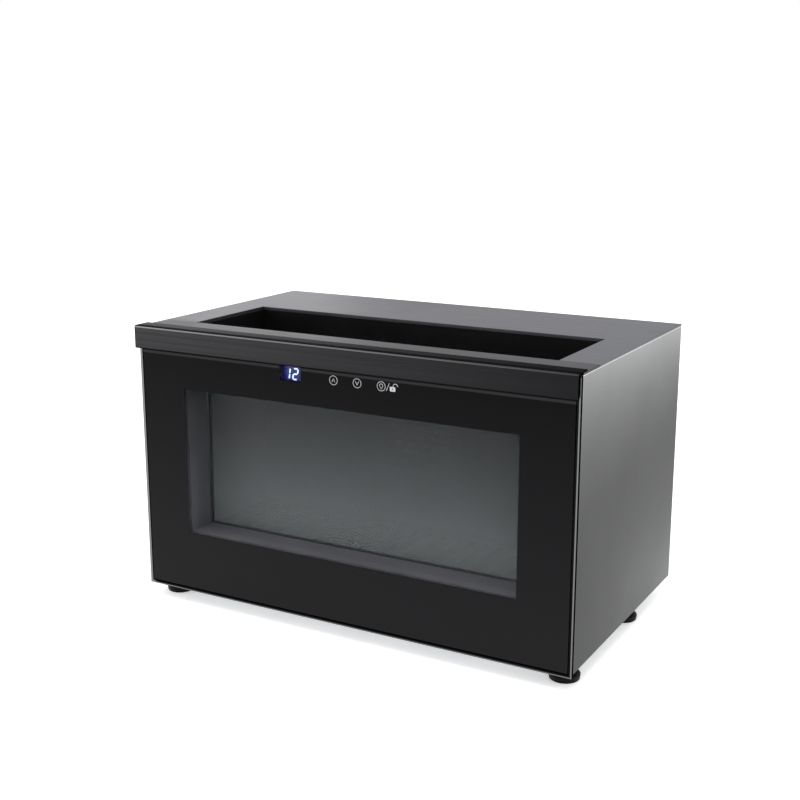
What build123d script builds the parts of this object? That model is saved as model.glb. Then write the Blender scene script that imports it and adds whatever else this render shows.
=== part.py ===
from build123d import *
import math
import os

os.makedirs("parts", exist_ok=True)

# A counter-top wine cooler: bottles stand upright in an insulated bay that is open at the top, behind
# a fixed double-glazed front. A thermoelectric module cools the bay, and a fan at the back blows its
# heat out. All sizes are millimetres. X is the width, Y runs from the front to the back, Z is up.
# The origin is on the floor, under the middle of the whole cooler.

# ---- Driving sizes: the bottle bay ----
bay_width = 315.0
bay_depth = 90.5
bay_floor_height = 37.7  # casing underside to the bay's floor
liner_wall = 1.2
liner_drop = 2.5  # the liner's top edge lies this far under the top panel's face
side_insulation = 30.1
rear_insulation = 38.0
rest_thick = 4.0
rest_clearance = 0.5
rest_slot_length = 60.0
rest_slot_width = 5.0
rest_slot_pitch = 13.0
rest_corner_radius = 2.0
foam_drop = 7.5  # the insulation's top lies this far under the top panel's face

# ---- Front, from the casing's front edges inwards and from the glass's lower edge upwards ----
glass_proud = 4.2  # front face of the trim, in front of the side panels
seal_thick = 1.0
seal_inset = 1.0  # the seal stays this far inside the trim's outline
trim_face = 2.4
trim_gap = 0.8  # between the trim and the glass
glass_setback = 0.2  # glass face behind the trim's face
carrier_thick = 3.0
reveal_length = 24.8  # carrier to inner pane
reveal_wall = 2.0
pane_thick = 2.5
pane_lap = 4.0  # the inner pane laps the window by this much all round
gasket_thick = 1.0
front_drop = 2.3  # the front hangs this far below the casing
sill_height = 51.6  # front's lower edge to the window
window_height = 120.7
window_margin = 11.2  # bay wall to the window's side
header_height = 30.1  # window to the lower edge of the top strip
glass_under_strip = 12.0

# ---- Top strip and sheets ----
strip_height = 17.6  # lower edge to the top panel's face
strip_proud = 5.4  # strip face in front of the trim
strip_thick = 3.0  # hemmed double sheet
strip_sheet = 1.2
hem_flat = 0.1  # half the flat left under the rounded hem
strip_lap = 11.0  # how far its flange lies over the top panel, behind the trim's face
side_sheet = 1.2
top_sheet = 1.5
rim_depth = 6.0  # folded edge round the bottle opening
rim_sheet = 1.2
rim_clearance = 0.5
base_sheet = 1.2
base_slot_count = 17
base_slot_pitch = 12.0
base_slot_width = 4.0
base_slot_share = 0.6  # of the machine space's depth
rear_sheet = 1.2
rear_recess = 4.2
flange_width = 12.0
flange_sheet = 1.2
panel_clearance = 0.3
edge_radius = 0.35
cutout_clearance = 0.2  # round the inlet and the switch in the rear panel
grille_rows = 9
grille_pitch = 8.0
grille_slot = 34.0
grille_slot_width = 4.0
grille_margin = 2.0  # slots stay this far inside the fan's circle, and as far apart
side_vent_rows = 7
side_vent_rise = 10.0  # middle of the vents over the supply, above the fan's middle

# ---- Display and touch keys ----
display_offset = 45.2  # centre of the digits, left of the middle
display_width = 16.0
display_height = 11.4
display_rise = 22.3  # centre of the digits above the window
key_first = -4.9
key_pitch = 20.5
key_count = 3
key_rise = 22.3
key_radius = 3.4
key_ring = 1.2
board_width = 124.0
board_height = 22.0
board_thick = 1.6
board_gap = 0.8

# ---- Cooling set, from the bay to the back ----
inner_fan_size = 60.0
inner_fan_thick = 10.0
outer_fan_size = 80.0
outer_fan_thick = 15.0
fan_corner_radius = 3.0
fan_ring_wall = 1.5
blade_clearance = 1.0
blade_count = 7
blade_thick = 1.4
blade_pitch = 38.0
spider_thick = 2.4
rotor_setback = 0.8
hub_gap = 0.6  # air gap between a fan's hub and its frame's spider
fan_hole_radius = 2.1
fan_hole_inset = 4.0
spider_arm = 4.0
spider_root = 2.0
blade_root = 4.0  # a blade reaches this far into its hub
blade_trim = 3.0  # blade chord, less than the slanted depth
inner_hub_radius = 12.0
outer_hub_radius = 17.0
shaft_radius = 1.5
running_clearance = 0.05
cold_sink_size = 70.0
cold_fin_height = 12.0
cold_base_thick = 4.0
hot_sink_size = 92.0
hot_fin_height = 22.0
hot_base_thick = 5.0
fin_thick = 1.5
fin_pitch = 5.0
module_size = 40.0
module_thick = 3.8
cold_block_size = 46.0
cold_block_ear = 5.0  # the block reaches this much further at the clamp screws
block_clearance = 1.0
clamp_screw_tip = 1.0  # screw tips stop this far inside the cold block
clamp_screw_radius = 2.0
clamp_screw_gap = 1.0
exhaust_gap = 8.6
sink_pocket_wall = 1.2
pocket_clearance = 2.0
cover_clearance = 0.3
cover_slot_length = 28.0
cover_slot_width = 3.0
cover_slot_pitch = 7.0
cover_slot_rows = 9
sensor_radius = 2.5
sensor_length = 20.0
cover_rib = 2.0  # half the rib between the cover's two columns of slots

# ---- Lamp, sunk in the liner over the window ----
lamp_side_margin = 20.0  # lamp cover to the bay's side wall
lamp_board_height = 6.0
lamp_board_thick = 1.2
lamp_cover_height = 8.0
lamp_cover_thick = 1.8
lamp_clearance = 0.3
lamp_board_margin = 2.0

# ---- Levelling feet ----
foot_height = 13.3  # floor to the casing's underside
foot_inset_x = 14.0  # foot centre from the casing's side
foot_front = 18.4  # foot centres from the casing's front edge
foot_rear = 142.2
pad_radius = 11.7
pad_height = 6.2
pad_rim = 4.4
pad_heel = 0.8  # the underside is this much smaller than the rim
pad_bevel = 1.2
pad_crown_radius = 9.0
socket_radius = 4.0
socket_depth = 3.6
stud_radius = 3.0
stud_clearance = 0.5
stud_chamfer = 0.8
stud_spare = 0.3  # thread left above the nut with the foot fully out
collar_flats = 13.0
collar_height = 3.4
collar_lift = 0.4  # collar above the pad
nut_flats = 13.0
nut_height = 5.0
nut_access = 3.0  # the side tabs clear the nuts by this much
foot_travel = 8.0
well_clearance = 2.5  # insulation round a nut
well_headroom = 1.0

# ---- Electrics ----
inlet_width = 27.6
inlet_height = 20.0
inlet_depth = 24.0
inlet_bezel = 2.2
inlet_bezel_thick = 1.6
inlet_wall = 1.8
inlet_back_wall = 4.0
inlet_key = 4.0  # chamfer on the recess's upper corners
pin_setback = 3.0
pin_spacing = 7.0
pin_drop = 1.5
pin_rise = 2.5
pin_half = (1.0, 2.0)
bezel_radius = 0.6
inlet_offset = 138.0  # right of the middle
inlet_rise = 44.0  # above the casing's underside
switch_wall = 1.0
switch_back_wall = 2.0
switch_depth = 14.0
switch_bezel = 2.0
switch_bezel_thick = 1.4
switch_rise = 84.0
rocker_radius = 8.4
rocker_clearance = 0.25
rocker_width = 10.6
rocker_tilt = 10.0
rocker_valley = 2.2  # pivot to the middle of the pressing face
rocker_end = 3.6  # pivot to the pressing face's ends, square to the middle position
rocker_back = 3.0
pivot_setback = 3.4  # pivot behind the bezel's face
pivot_radius = 1.4
supply_width = 92.0
supply_depth = 36.0
supply_height = 62.0
supply_wall = 2.0
supply_corner_radius = 3.0
supply_offset = -122.0
supply_board_margin = 2.0
supply_board_lift = 4.0
transformer = (24.0, 22.0, 24.4)
capacitor_radius = 8.0
capacitor_height = 24.0
capacitor_offset = 26.0

# ---- Fasteners ----
screw_radius = 1.5
screw_head_radius = 3.2
screw_head_height = 1.8
screw_length = 7.0
screw_recess = 0.9
recess_length = 3.4
recess_width = 0.8
hole_clearance = 0.1
screw_room = 1.0  # insulation round a base screw
rear_screw_shares = (0.08, 0.5, 0.92)
base_screw_shares = (0.16, 0.5, 0.84)

# ---- Levels and places worked out from the sizes ----
machine_depth = hot_base_thick + hot_fin_height + outer_fan_thick + exhaust_gap
pane_front = carrier_thick + reveal_length  # behind the casing's front edge
liner_front = pane_front + pane_thick + gasket_thick
casing_depth = (
    liner_front + 2 * liner_wall + bay_depth + rear_insulation + machine_depth + rear_sheet + rear_recess
)
casing_width = bay_width + 2 * (liner_wall + side_insulation + side_sheet)
casing_height = sill_height + window_height + header_height + strip_height - front_drop
half_width = casing_width / 2
overall_depth = strip_proud + glass_proud + casing_depth

y_strip = -overall_depth / 2
y_trim = y_strip + strip_proud
y_casing = y_trim + glass_proud
y_pane = y_casing + pane_front
y_liner = y_casing + liner_front
y_bay = y_liner + liner_wall
y_bay_back = y_bay + bay_depth
y_liner_back = y_bay_back + liner_wall
y_hot_sink = y_liner_back + rear_insulation
y_outer_fan = y_hot_sink + hot_base_thick + hot_fin_height
y_rear_panel = y_outer_fan + outer_fan_thick + exhaust_gap
y_rear_face = y_rear_panel + rear_sheet
y_back = y_casing + casing_depth

z_casing = foot_height
z_front = z_casing - front_drop
z_base = z_casing + side_sheet
z_window = z_front + sill_height
z_window_top = z_window + window_height
z_strip = z_window_top + header_height
z_top = z_strip + strip_height
z_under_top = z_top - top_sheet
z_bay = z_casing + bay_floor_height
z_liner_top = z_top - liner_drop

x_liner = bay_width / 2 + liner_wall
x_side = half_width - side_sheet
x_window = bay_width / 2 - window_margin
x_opening = x_liner + rim_clearance
y_opening = y_liner - rim_clearance
y_opening_back = y_liner_back + rim_clearance
z_fan = z_bay + (z_liner_top - z_bay) / 2
z_collar = pad_height + collar_lift
stud_length = z_base + base_sheet + nut_height + foot_travel + stud_spare - z_collar - collar_height
switch_width = rocker_width + 2 * (rocker_clearance + switch_wall)
switch_height = 2 * (rocker_radius + rocker_clearance + switch_wall)


def span(x, y, z, mode=Mode.ADD):
    """Add to the part being built the box that spans x, y and z, each a (low, high) pair."""
    with Locations(((x[0] + x[1]) / 2, (y[0] + y[1]) / 2, (z[0] + z[1]) / 2)):
        Box(x[1] - x[0], y[1] - y[0], z[1] - z[0], mode=mode)


def around(centre, half):
    """The (low, high) pair that reaches half to each side of centre."""
    return (centre - half, centre + half)


def back_plane(x, y, z):
    """A plane facing the back of the cooler, its own X along the cooler's X."""
    return Plane(origin=(x, y, z), x_dir=(1, 0, 0), z_dir=(0, 1, 0))


def save(builder, name):
    """Label a finished piece and write it."""
    builder.part.label = name
    export_step(builder.part, f"parts/{name}.step")


both_sides = (-1, 1)
hole_radius = screw_radius + hole_clearance
y_flange = y_rear_panel - flange_sheet
rear_screw_levels = [
    z_base + base_sheet + (z_under_top - z_base - base_sheet) * share for share in rear_screw_shares
]
rear_screw_x = x_side - flange_width / 2
base_screw_y = [y_casing + casing_depth * share for share in base_screw_shares]
base_screw_x = x_side - flange_width / 2
feet = {
    "front_left": (-half_width + foot_inset_x, y_casing + foot_front),
    "front_right": (half_width - foot_inset_x, y_casing + foot_front),
    "rear_left": (-half_width + foot_inset_x, y_casing + foot_rear),
    "rear_right": (half_width - foot_inset_x, y_casing + foot_rear),
}
stud_hole_radius = stud_radius + stud_clearance

# ---- Casing ----
for side, name in zip(both_sides, ("side_panel_left", "side_panel_right")):
    outer = sorted((side * half_width, side * x_side))
    inner = sorted((side * x_side, side * (x_side - flange_width)))
    with BuildPart() as side_panel:
        span(outer, (y_casing, y_back), (z_casing, z_under_top))
        fillet(side_panel.faces().sort_by(Axis.X)[0 if side < 0 else -1].edges(), edge_radius)
        # Tabs that the rear panel and the base plate are screwed to.
        span(inner, (y_flange, y_rear_panel), (z_base + base_sheet, z_under_top - panel_clearance))
        span(inner, (y_casing + flange_width, y_flange), (z_casing, z_base))
        with BuildSketch(back_plane(0, y_flange, 0)):
            with Locations(*[(side * rear_screw_x, -level) for level in rear_screw_levels]):
                Circle(hole_radius)
        extrude(amount=flange_sheet, mode=Mode.SUBTRACT)
        with BuildSketch(Plane.XY.offset(z_casing)):
            with Locations(*[(side * base_screw_x, y) for y in base_screw_y]):
                Circle(hole_radius)
            with Locations(*[place for place in feet.values() if place[0] * side > 0]):
                Circle(nut_flats / 2 + nut_access)
        extrude(amount=side_sheet, mode=Mode.SUBTRACT)
    save(side_panel, name)

with BuildPart() as top_panel:
    span((-half_width, half_width), (y_casing, y_back), (z_under_top, z_top))
    fillet(top_panel.faces().sort_by(Axis.Z)[-1].edges(), edge_radius)
    rim_x = x_opening + rim_sheet
    rim_y = (y_opening - rim_sheet, y_opening_back + rim_sheet)
    span((-rim_x, rim_x), rim_y, (z_top - rim_depth, z_under_top))
    span((-x_opening, x_opening), (y_opening, y_opening_back), (z_top - rim_depth, z_top), Mode.SUBTRACT)
    opening_edges = (
        top_panel.faces()
        .sort_by(Axis.Z)[-1]
        .inner_wires()[0]
        .edges()
    )
    fillet(opening_edges, edge_radius)
save(top_panel, "top_panel")

with BuildPart() as base_plate:
    base_x = x_side - panel_clearance
    base_y = (y_casing + carrier_thick + panel_clearance, y_flange - panel_clearance)
    span((-base_x, base_x), base_y, (z_base, z_base + base_sheet))
    with BuildSketch(Plane.XY.offset(z_base)):
        with Locations(*feet.values()):
            Circle(stud_hole_radius)
        for side in both_sides:
            with Locations(*[(side * base_screw_x, y) for y in base_screw_y]):
                Circle(hole_radius)
        # Air comes in through slots under the machine space.
        with Locations((0, y_hot_sink + machine_depth / 2)):
            with GridLocations(base_slot_pitch, 1, base_slot_count, 1):
                SlotOverall(machine_depth * base_slot_share, base_slot_width, rotation=90)
    extrude(amount=base_sheet, mode=Mode.SUBTRACT)
save(base_plate, "base_plate")

inlet_hole = (inlet_width + 2 * cutout_clearance, inlet_height + 2 * cutout_clearance)
switch_hole = (switch_width + 2 * cutout_clearance, switch_height + 2 * cutout_clearance)
z_inlet = z_casing + inlet_rise
z_switch = z_casing + switch_rise
with BuildPart() as rear_panel:
    rear_x = x_side - panel_clearance
    rear_z = (z_base + panel_clearance, z_under_top - panel_clearance)
    span((-rear_x, rear_x), (y_rear_panel, y_rear_face), rear_z)
    with BuildSketch(back_plane(0, y_rear_panel, 0)):
        # Fan grille: two columns of slots, kept inside the fan's circle.
        for row in range(grille_rows):
            rise = (row - (grille_rows - 1) / 2) * grille_pitch
            reach = math.sqrt((outer_fan_size / 2 - grille_margin) ** 2 - rise**2)
            middle = (reach + grille_margin) / 2
            with Locations(*[(side * middle, -z_fan + rise) for side in both_sides]):
                SlotOverall(min(grille_slot, reach - grille_margin), grille_slot_width)
        # Vents over the power supply.
        for row in range(side_vent_rows):
            rise = side_vent_rise + (row - (side_vent_rows - 1) / 2) * grille_pitch
            with Locations((supply_offset, -z_fan - rise)):
                SlotOverall(grille_slot, grille_slot_width)
        with Locations((inlet_offset, -z_inlet)):
            Rectangle(*inlet_hole)
        with Locations((inlet_offset, -z_switch)):
            Rectangle(*switch_hole)
        for side in both_sides:
            with Locations(*[(side * rear_screw_x, -level) for level in rear_screw_levels]):
                Circle(hole_radius)
    extrude(amount=rear_sheet, mode=Mode.SUBTRACT)
save(rear_panel, "rear_panel")

# ---- Front ----
z_glass_top = z_strip + glass_under_strip
x_trim_in = half_width - trim_face
z_trim_in = z_front + trim_face
x_glass = x_trim_in - trim_gap
z_glass = z_trim_in + trim_gap

y_trim_back = y_casing - seal_thick
trim_opening = (z_trim_in, z_glass_top + trim_gap)
z_trim_top = trim_opening[1] + trim_face
with BuildPart() as front_trim:
    span((-half_width, half_width), (y_trim, y_trim_back), (z_front, z_trim_top))
    front_edges = front_trim.faces().sort_by(Axis.Y)[0].edges()
    fillet(front_edges, edge_radius)
    span((-x_trim_in, x_trim_in), (y_trim, y_trim_back), trim_opening, Mode.SUBTRACT)
save(front_trim, "front_trim")

with BuildPart() as front_seal:
    x_seal = half_width - seal_inset
    z_seal = (z_front + seal_inset, z_trim_top - seal_inset)
    span((-x_seal, x_seal), (y_trim_back, y_casing), z_seal)
    span((-x_trim_in, x_trim_in), (y_trim_back, y_casing), trim_opening, Mode.SUBTRACT)
save(front_seal, "front_seal")

with BuildPart() as front_glass:
    span((-x_glass, x_glass), (y_trim + glass_setback, y_casing), (z_glass, z_glass_top))
    fillet(front_glass.faces().sort_by(Axis.Y)[0].edges(), edge_radius)
save(front_glass, "front_glass")

window_z = (z_window, z_window_top)
x_keys = [key_first + key_pitch * number for number in range(key_count)]
z_keys = z_window_top + key_rise
z_display = z_window_top + display_rise
x_carrier = x_side - panel_clearance
carrier_y = (y_casing, y_casing + carrier_thick)
with BuildPart() as front_carrier:
    span((-x_carrier, x_carrier), carrier_y, (z_trim_in, z_under_top - panel_clearance))
    span((-x_window, x_window), carrier_y, window_z, Mode.SUBTRACT)
    display_x = around(-display_offset, display_width / 2 + board_gap)
    display_z = around(z_display, display_height / 2 + board_gap)
    span(display_x, carrier_y, display_z, Mode.SUBTRACT)
    with BuildSketch(back_plane(0, y_casing, 0)):
        with Locations(*[(x, -z_keys) for x in x_keys]):
            Circle(key_radius + board_gap)
    extrude(amount=carrier_thick, mode=Mode.SUBTRACT)
save(front_carrier, "front_carrier")

with BuildPart() as top_strip:
    strip_top = z_top + strip_sheet
    y_strip_in = y_strip + strip_thick
    y_lap = y_trim + strip_lap
    hem_radius = strip_thick / 2 - hem_flat
    with BuildSketch(Plane.YZ.offset(-half_width)):
        with BuildLine():
            Polyline(
                (y_lap, z_top),
                (y_lap, strip_top),
                (y_strip, strip_top),
                (y_strip, z_strip),
                (y_strip_in, z_strip),
                (y_strip_in, z_top),
                close=True,
            )
        make_face()
        fillet(vertices().sort_by_distance((y_strip, strip_top))[0], strip_sheet)
        fillet(vertices().sort_by_distance((y_strip, z_strip))[0], hem_radius)
        fillet(vertices().sort_by_distance((y_strip_in, z_strip))[0], hem_radius)
    extrude(amount=casing_width)
save(top_strip, "top_strip")

with BuildPart() as window_reveal:
    reveal_y = (y_casing + carrier_thick, y_pane)
    outer_x = x_window + reveal_wall
    outer_z = (z_window - reveal_wall, z_window_top + reveal_wall)
    span((-outer_x, outer_x), reveal_y, outer_z)
    span((-x_window, x_window), reveal_y, window_z, Mode.SUBTRACT)
save(window_reveal, "window_reveal")

pane_x = x_window + pane_lap
pane_z = (z_window - pane_lap, z_window_top + pane_lap)
with BuildPart() as inner_pane:
    span((-pane_x, pane_x), (y_pane, y_pane + pane_thick), pane_z)
save(inner_pane, "inner_pane")

with BuildPart() as pane_gasket:
    span((-pane_x, pane_x), (y_pane + pane_thick, y_liner), pane_z)
    span((-x_window, x_window), (y_pane + pane_thick, y_liner), window_z, Mode.SUBTRACT)
save(pane_gasket, "pane_gasket")

# ---- Bay ----
pocket_half = cold_sink_size / 2 + pocket_clearance
pocket_depth = inner_fan_thick + cold_fin_height + cold_base_thick
y_pocket_back = y_liner_back + pocket_depth
y_sink_base = y_pocket_back - cold_base_thick
x_lamp = bay_width / 2 - lamp_side_margin
y_lamp_cover = y_bay - lamp_cover_thick
y_lamp_board = y_lamp_cover - lamp_board_thick
z_lamp = z_window_top + (z_liner_top - z_window_top) / 2
lamp_slot_x = around(0, x_lamp + lamp_clearance)
lamp_slot_z = around(z_lamp, lamp_cover_height / 2 + lamp_clearance)
with BuildPart() as liner:
    span((-x_liner, x_liner), (y_liner, y_liner_back), (z_bay - liner_wall, z_liner_top))
    sleeve_half = pocket_half + sink_pocket_wall
    span(around(0, sleeve_half), (y_bay_back, y_sink_base), around(z_fan, sleeve_half))
    span((-bay_width / 2, bay_width / 2), (y_bay, y_bay_back), (z_bay, z_liner_top), Mode.SUBTRACT)
    span((-x_window, x_window), (y_liner, y_bay), window_z, Mode.SUBTRACT)
    span(lamp_slot_x, (y_liner, y_bay), lamp_slot_z, Mode.SUBTRACT)
    # The pocket for the fan and the cold sink opens into the bay.
    span(around(0, pocket_half), (y_bay_back, y_sink_base), around(z_fan, pocket_half), Mode.SUBTRACT)
save(liner, "liner")

with BuildPart() as bottle_rest:
    rest_x = bay_width / 2 - rest_clearance
    rest_y = (y_bay + rest_clearance, y_bay_back - rest_clearance)
    span((-rest_x, rest_x), rest_y, (z_bay, z_bay + rest_thick))
    fillet(bottle_rest.edges().filter_by(Axis.Z), rest_corner_radius)
    # Drain and air slots.
    with BuildSketch(Plane.XY.offset(z_bay)):
        with Locations((0, (y_bay + y_bay_back) / 2)):
            with GridLocations(rest_slot_pitch, 1, int(2 * rest_x / rest_slot_pitch) - 2, 1):
                SlotOverall(rest_slot_length, rest_slot_width, rotation=90)
    extrude(amount=rest_thick, mode=Mode.SUBTRACT)
save(bottle_rest, "bottle_rest")

with BuildPart() as duct_cover:
    cover_half = pocket_half - cover_clearance
    span(around(0, cover_half), (y_bay_back, y_liner_back), around(z_fan, cover_half))
    with BuildSketch(back_plane(0, y_bay_back, 0)):
        for row in range(cover_slot_rows):
            rise = (row - (cover_slot_rows - 1) / 2) * cover_slot_pitch
            middle = cover_slot_length / 2 + cover_rib
            with Locations(*[(side * middle, -z_fan + rise) for side in both_sides]):
                SlotOverall(cover_slot_length, cover_slot_width)
    extrude(amount=liner_wall, mode=Mode.SUBTRACT)
save(duct_cover, "duct_cover")

with BuildPart() as lamp_board:
    lamp_board_x = around(0, x_lamp - lamp_board_margin)
    span(lamp_board_x, (y_lamp_board, y_lamp_cover), around(z_lamp, lamp_board_height / 2))
save(lamp_board, "lamp_board")

with BuildPart() as lamp_cover:
    span(around(0, x_lamp), (y_lamp_cover, y_bay), around(z_lamp, lamp_cover_height / 2))
    fillet(lamp_cover.faces().sort_by(Axis.Y)[-1].edges(), edge_radius)
save(lamp_cover, "lamp_cover")

with BuildPart() as temperature_sensor:
    x_sensor = (inner_fan_size / 2 + pocket_half) / 2
    with BuildSketch(Plane.XY.offset(z_fan - sensor_length / 2)):
        with Locations((x_sensor, y_liner_back + inner_fan_thick / 2)):
            Circle(sensor_radius)
    extrude(amount=sensor_length)
    fillet(temperature_sensor.faces().sort_by(Axis.Z)[-1].edges(), sensor_radius / 2)
save(temperature_sensor, "temperature_sensor")

# ---- Insulation ----
z_foam = z_base + base_sheet
z_foam_top = z_top - foam_drop
y_foam = y_casing + carrier_thick + board_gap + board_thick
well_radius = nut_flats / 2 + well_clearance
well_depth = z_collar + collar_height + stud_length + well_headroom - z_foam
with BuildPart() as foam_sides:
    for side in both_sides:
        foam_x = sorted((side * x_liner, side * x_side))
        span(foam_x, (y_foam, y_hot_sink), (z_foam, z_foam_top))
    with BuildSketch(Plane.XY.offset(z_foam)):
        with Locations(*feet.values()):
            Circle(well_radius)
    extrude(amount=well_depth, mode=Mode.SUBTRACT)
    with BuildSketch(Plane.XY.offset(z_foam)):
        for side in both_sides:
            with Locations(*[(side * base_screw_x, y) for y in base_screw_y]):
                Circle(screw_radius + screw_room)
    extrude(amount=screw_length - side_sheet - base_sheet + screw_room, mode=Mode.SUBTRACT)
save(foam_sides, "foam_sides")

with BuildPart() as foam_floor:
    span((-x_liner, x_liner), (y_foam, y_hot_sink), (z_foam, z_bay - liner_wall))
save(foam_floor, "foam_floor")

with BuildPart() as foam_front:
    span((-x_liner, x_liner), (y_foam, y_liner), (z_bay - liner_wall, z_foam_top))
    span((-outer_x, outer_x), (y_foam, y_pane), outer_z, Mode.SUBTRACT)
    span((-pane_x, pane_x), (y_pane, y_liner), pane_z, Mode.SUBTRACT)
    span(lamp_slot_x, (y_lamp_board, y_liner), lamp_slot_z, Mode.SUBTRACT)
save(foam_front, "foam_front")

with BuildPart() as foam_rear:
    span((-x_liner, x_liner), (y_liner_back, y_hot_sink), (z_bay - liner_wall, z_foam_top))
    sleeve_z = around(z_fan, sleeve_half)
    span(around(0, sleeve_half), (y_liner_back, y_pocket_back), sleeve_z, Mode.SUBTRACT)
    block_room = cold_block_size / 2 + cold_block_ear + block_clearance
    block_z = around(z_fan, block_room)
    span(around(0, block_room), (y_pocket_back, y_hot_sink), block_z, Mode.SUBTRACT)
save(foam_rear, "foam_rear")

# ---- Cooling set ----
clamp_reach = module_size / 2 + clamp_screw_radius + clamp_screw_gap
clamp_places = [(side * clamp_reach, -z_fan) for side in both_sides]
y_cold_block = y_pocket_back
y_module = y_hot_sink - module_thick


def finned_sink(size, y_base, base_thick, fin_height, fins_forward):
    """Build in the current part a square sink whose upright fins stand on one side of its base."""
    span(around(0, size / 2), (y_base, y_base + base_thick), around(z_fan, size / 2))
    y_fin = y_base - fin_height if fins_forward else y_base + base_thick
    fin_y = (y_fin, y_fin + fin_height)
    count = int((size - fin_thick) // fin_pitch) + 1
    for number in range(count):
        x_fin = (number - (count - 1) / 2) * fin_pitch
        span(around(x_fin, fin_thick / 2), fin_y, around(z_fan, size / 2))


with BuildPart() as cold_sink:
    finned_sink(cold_sink_size, y_sink_base, cold_base_thick, cold_fin_height, True)
save(cold_sink, "cold_sink")

with BuildPart() as cold_block:
    block_x = cold_block_size / 2 + cold_block_ear
    span(around(0, block_x), (y_cold_block, y_module), around(z_fan, cold_block_size / 2))
    with BuildSketch(back_plane(0, y_cold_block, 0)):
        with Locations(*clamp_places):
            Circle(clamp_screw_radius + hole_clearance)
    extrude(amount=y_module - y_cold_block, mode=Mode.SUBTRACT)
save(cold_block, "cold_block")

with BuildPart() as thermoelectric_module:
    span(around(0, module_size / 2), (y_module, y_hot_sink), around(z_fan, module_size / 2))
save(thermoelectric_module, "thermoelectric_module")

with BuildPart() as hot_sink:
    finned_sink(hot_sink_size, y_hot_sink, hot_base_thick, hot_fin_height, False)
    with BuildSketch(back_plane(0, y_hot_sink, 0)):
        with Locations(*clamp_places):
            Circle(clamp_screw_radius + hole_clearance)
    extrude(amount=hot_base_thick, mode=Mode.SUBTRACT)
    # Room between the fins for the clamp screws' heads.
    with BuildSketch(back_plane(0, y_hot_sink + hot_base_thick, 0)):
        with Locations(*clamp_places):
            Circle(2 * clamp_screw_radius + clamp_screw_gap)
    extrude(amount=hot_fin_height, mode=Mode.SUBTRACT)
save(hot_sink, "hot_sink")

with BuildPart() as clamp_screws:
    y_screw_tip = y_cold_block + clamp_screw_tip
    with BuildSketch(back_plane(0, y_screw_tip, 0)):
        with Locations(*clamp_places):
            Circle(clamp_screw_radius)
    extrude(amount=y_hot_sink + hot_base_thick - y_screw_tip)
    with BuildSketch(back_plane(0, y_hot_sink + hot_base_thick, 0)):
        with Locations(*clamp_places):
            Circle(2 * clamp_screw_radius)
    extrude(amount=clamp_screw_radius)
save(clamp_screws, "clamp_screws")


fans = {
    "inner": (inner_fan_size, inner_fan_thick, inner_hub_radius, y_liner_back),
    "outer": (outer_fan_size, outer_fan_thick, outer_hub_radius, y_outer_fan),
}
for place, (size, thick, hub_radius, y_fan) in fans.items():
    seat = back_plane(0, y_fan, z_fan)
    bore = size / 2 - fan_ring_wall
    # A square frame round a bore, with a hub plate held by four arms.
    with BuildPart(seat) as frame:
        with BuildSketch(seat):
            RectangleRounded(size, size, fan_corner_radius)
            Circle(bore, mode=Mode.SUBTRACT)
            hole_span = size - 2 * fan_hole_inset
            with GridLocations(hole_span, hole_span, 2, 2):
                Circle(fan_hole_radius, mode=Mode.SUBTRACT)
        extrude(amount=thick)
        with BuildSketch(seat):
            Circle(hub_radius)
            with PolarLocations((bore + hub_radius) / 2, 4, 45):
                Rectangle(bore - hub_radius + spider_root, spider_arm)
            Circle(shaft_radius + running_clearance, mode=Mode.SUBTRACT)
        extrude(amount=spider_thick)
    save(frame, f"{place}_fan_frame")
    # A hub with slanted blades, and a shaft that runs in the hub plate.
    tip = bore - blade_clearance
    level = spider_thick + hub_gap
    depth = thick - level - rotor_setback
    with BuildPart(seat) as rotor:
        with Locations((0, 0, level + depth / 2)):
            Cylinder(hub_radius, depth)
        with PolarLocations((hub_radius + tip) / 2, blade_count):
            with Locations((0, 0, level + depth / 2)):
                Box(
                    tip - hub_radius + blade_root,
                    depth / math.sin(math.radians(blade_pitch)) - blade_trim,
                    blade_thick,
                    rotation=(blade_pitch, 0, 0),
                )
        with Locations((0, 0, level + depth / 2)):
            Cylinder(tip, depth, mode=Mode.INTERSECT)
        with Locations((0, 0, level / 2)):
            Cylinder(shaft_radius, level)
    save(rotor, f"{place}_fan_rotor")

# ---- Display ----
y_board = y_casing + carrier_thick + board_gap
with BuildPart() as display_board:
    span(around(0, board_width / 2), (y_board, y_board + board_thick), around(z_keys, board_height / 2))
save(display_board, "display_board")

with BuildPart() as display_module:
    module_y = (y_casing + board_gap / 2, y_board)
    module_z = around(z_display, display_height / 2)
    span(around(-display_offset, display_width / 2), module_y, module_z)
save(display_module, "display_module")

with BuildPart() as touch_pads:
    with BuildSketch(back_plane(0, y_casing + board_gap / 2, 0)):
        with Locations(*[(x, -z_keys) for x in x_keys]):
            Circle(key_radius)
            Circle(key_radius - key_ring, mode=Mode.SUBTRACT)
    extrude(amount=y_board - y_casing - board_gap / 2)
save(touch_pads, "touch_pads")

# ---- Electrics ----
y_machine = y_hot_sink + machine_depth / 2
supply_x = around(supply_offset, supply_width / 2)
supply_y = around(y_machine, supply_depth / 2)
supply_z = (z_base + base_sheet, z_base + base_sheet + supply_height)
with BuildPart() as supply_case:
    span(supply_x, supply_y, supply_z)
    fillet(supply_case.edges().filter_by(Axis.Z), supply_corner_radius)
    span(
        (supply_x[0] + supply_wall, supply_x[1] - supply_wall),
        (supply_y[0] + supply_wall, supply_y[1] - supply_wall),
        (supply_z[0], supply_z[1] - supply_wall),
        Mode.SUBTRACT,
    )
save(supply_case, "supply_case")

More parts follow.
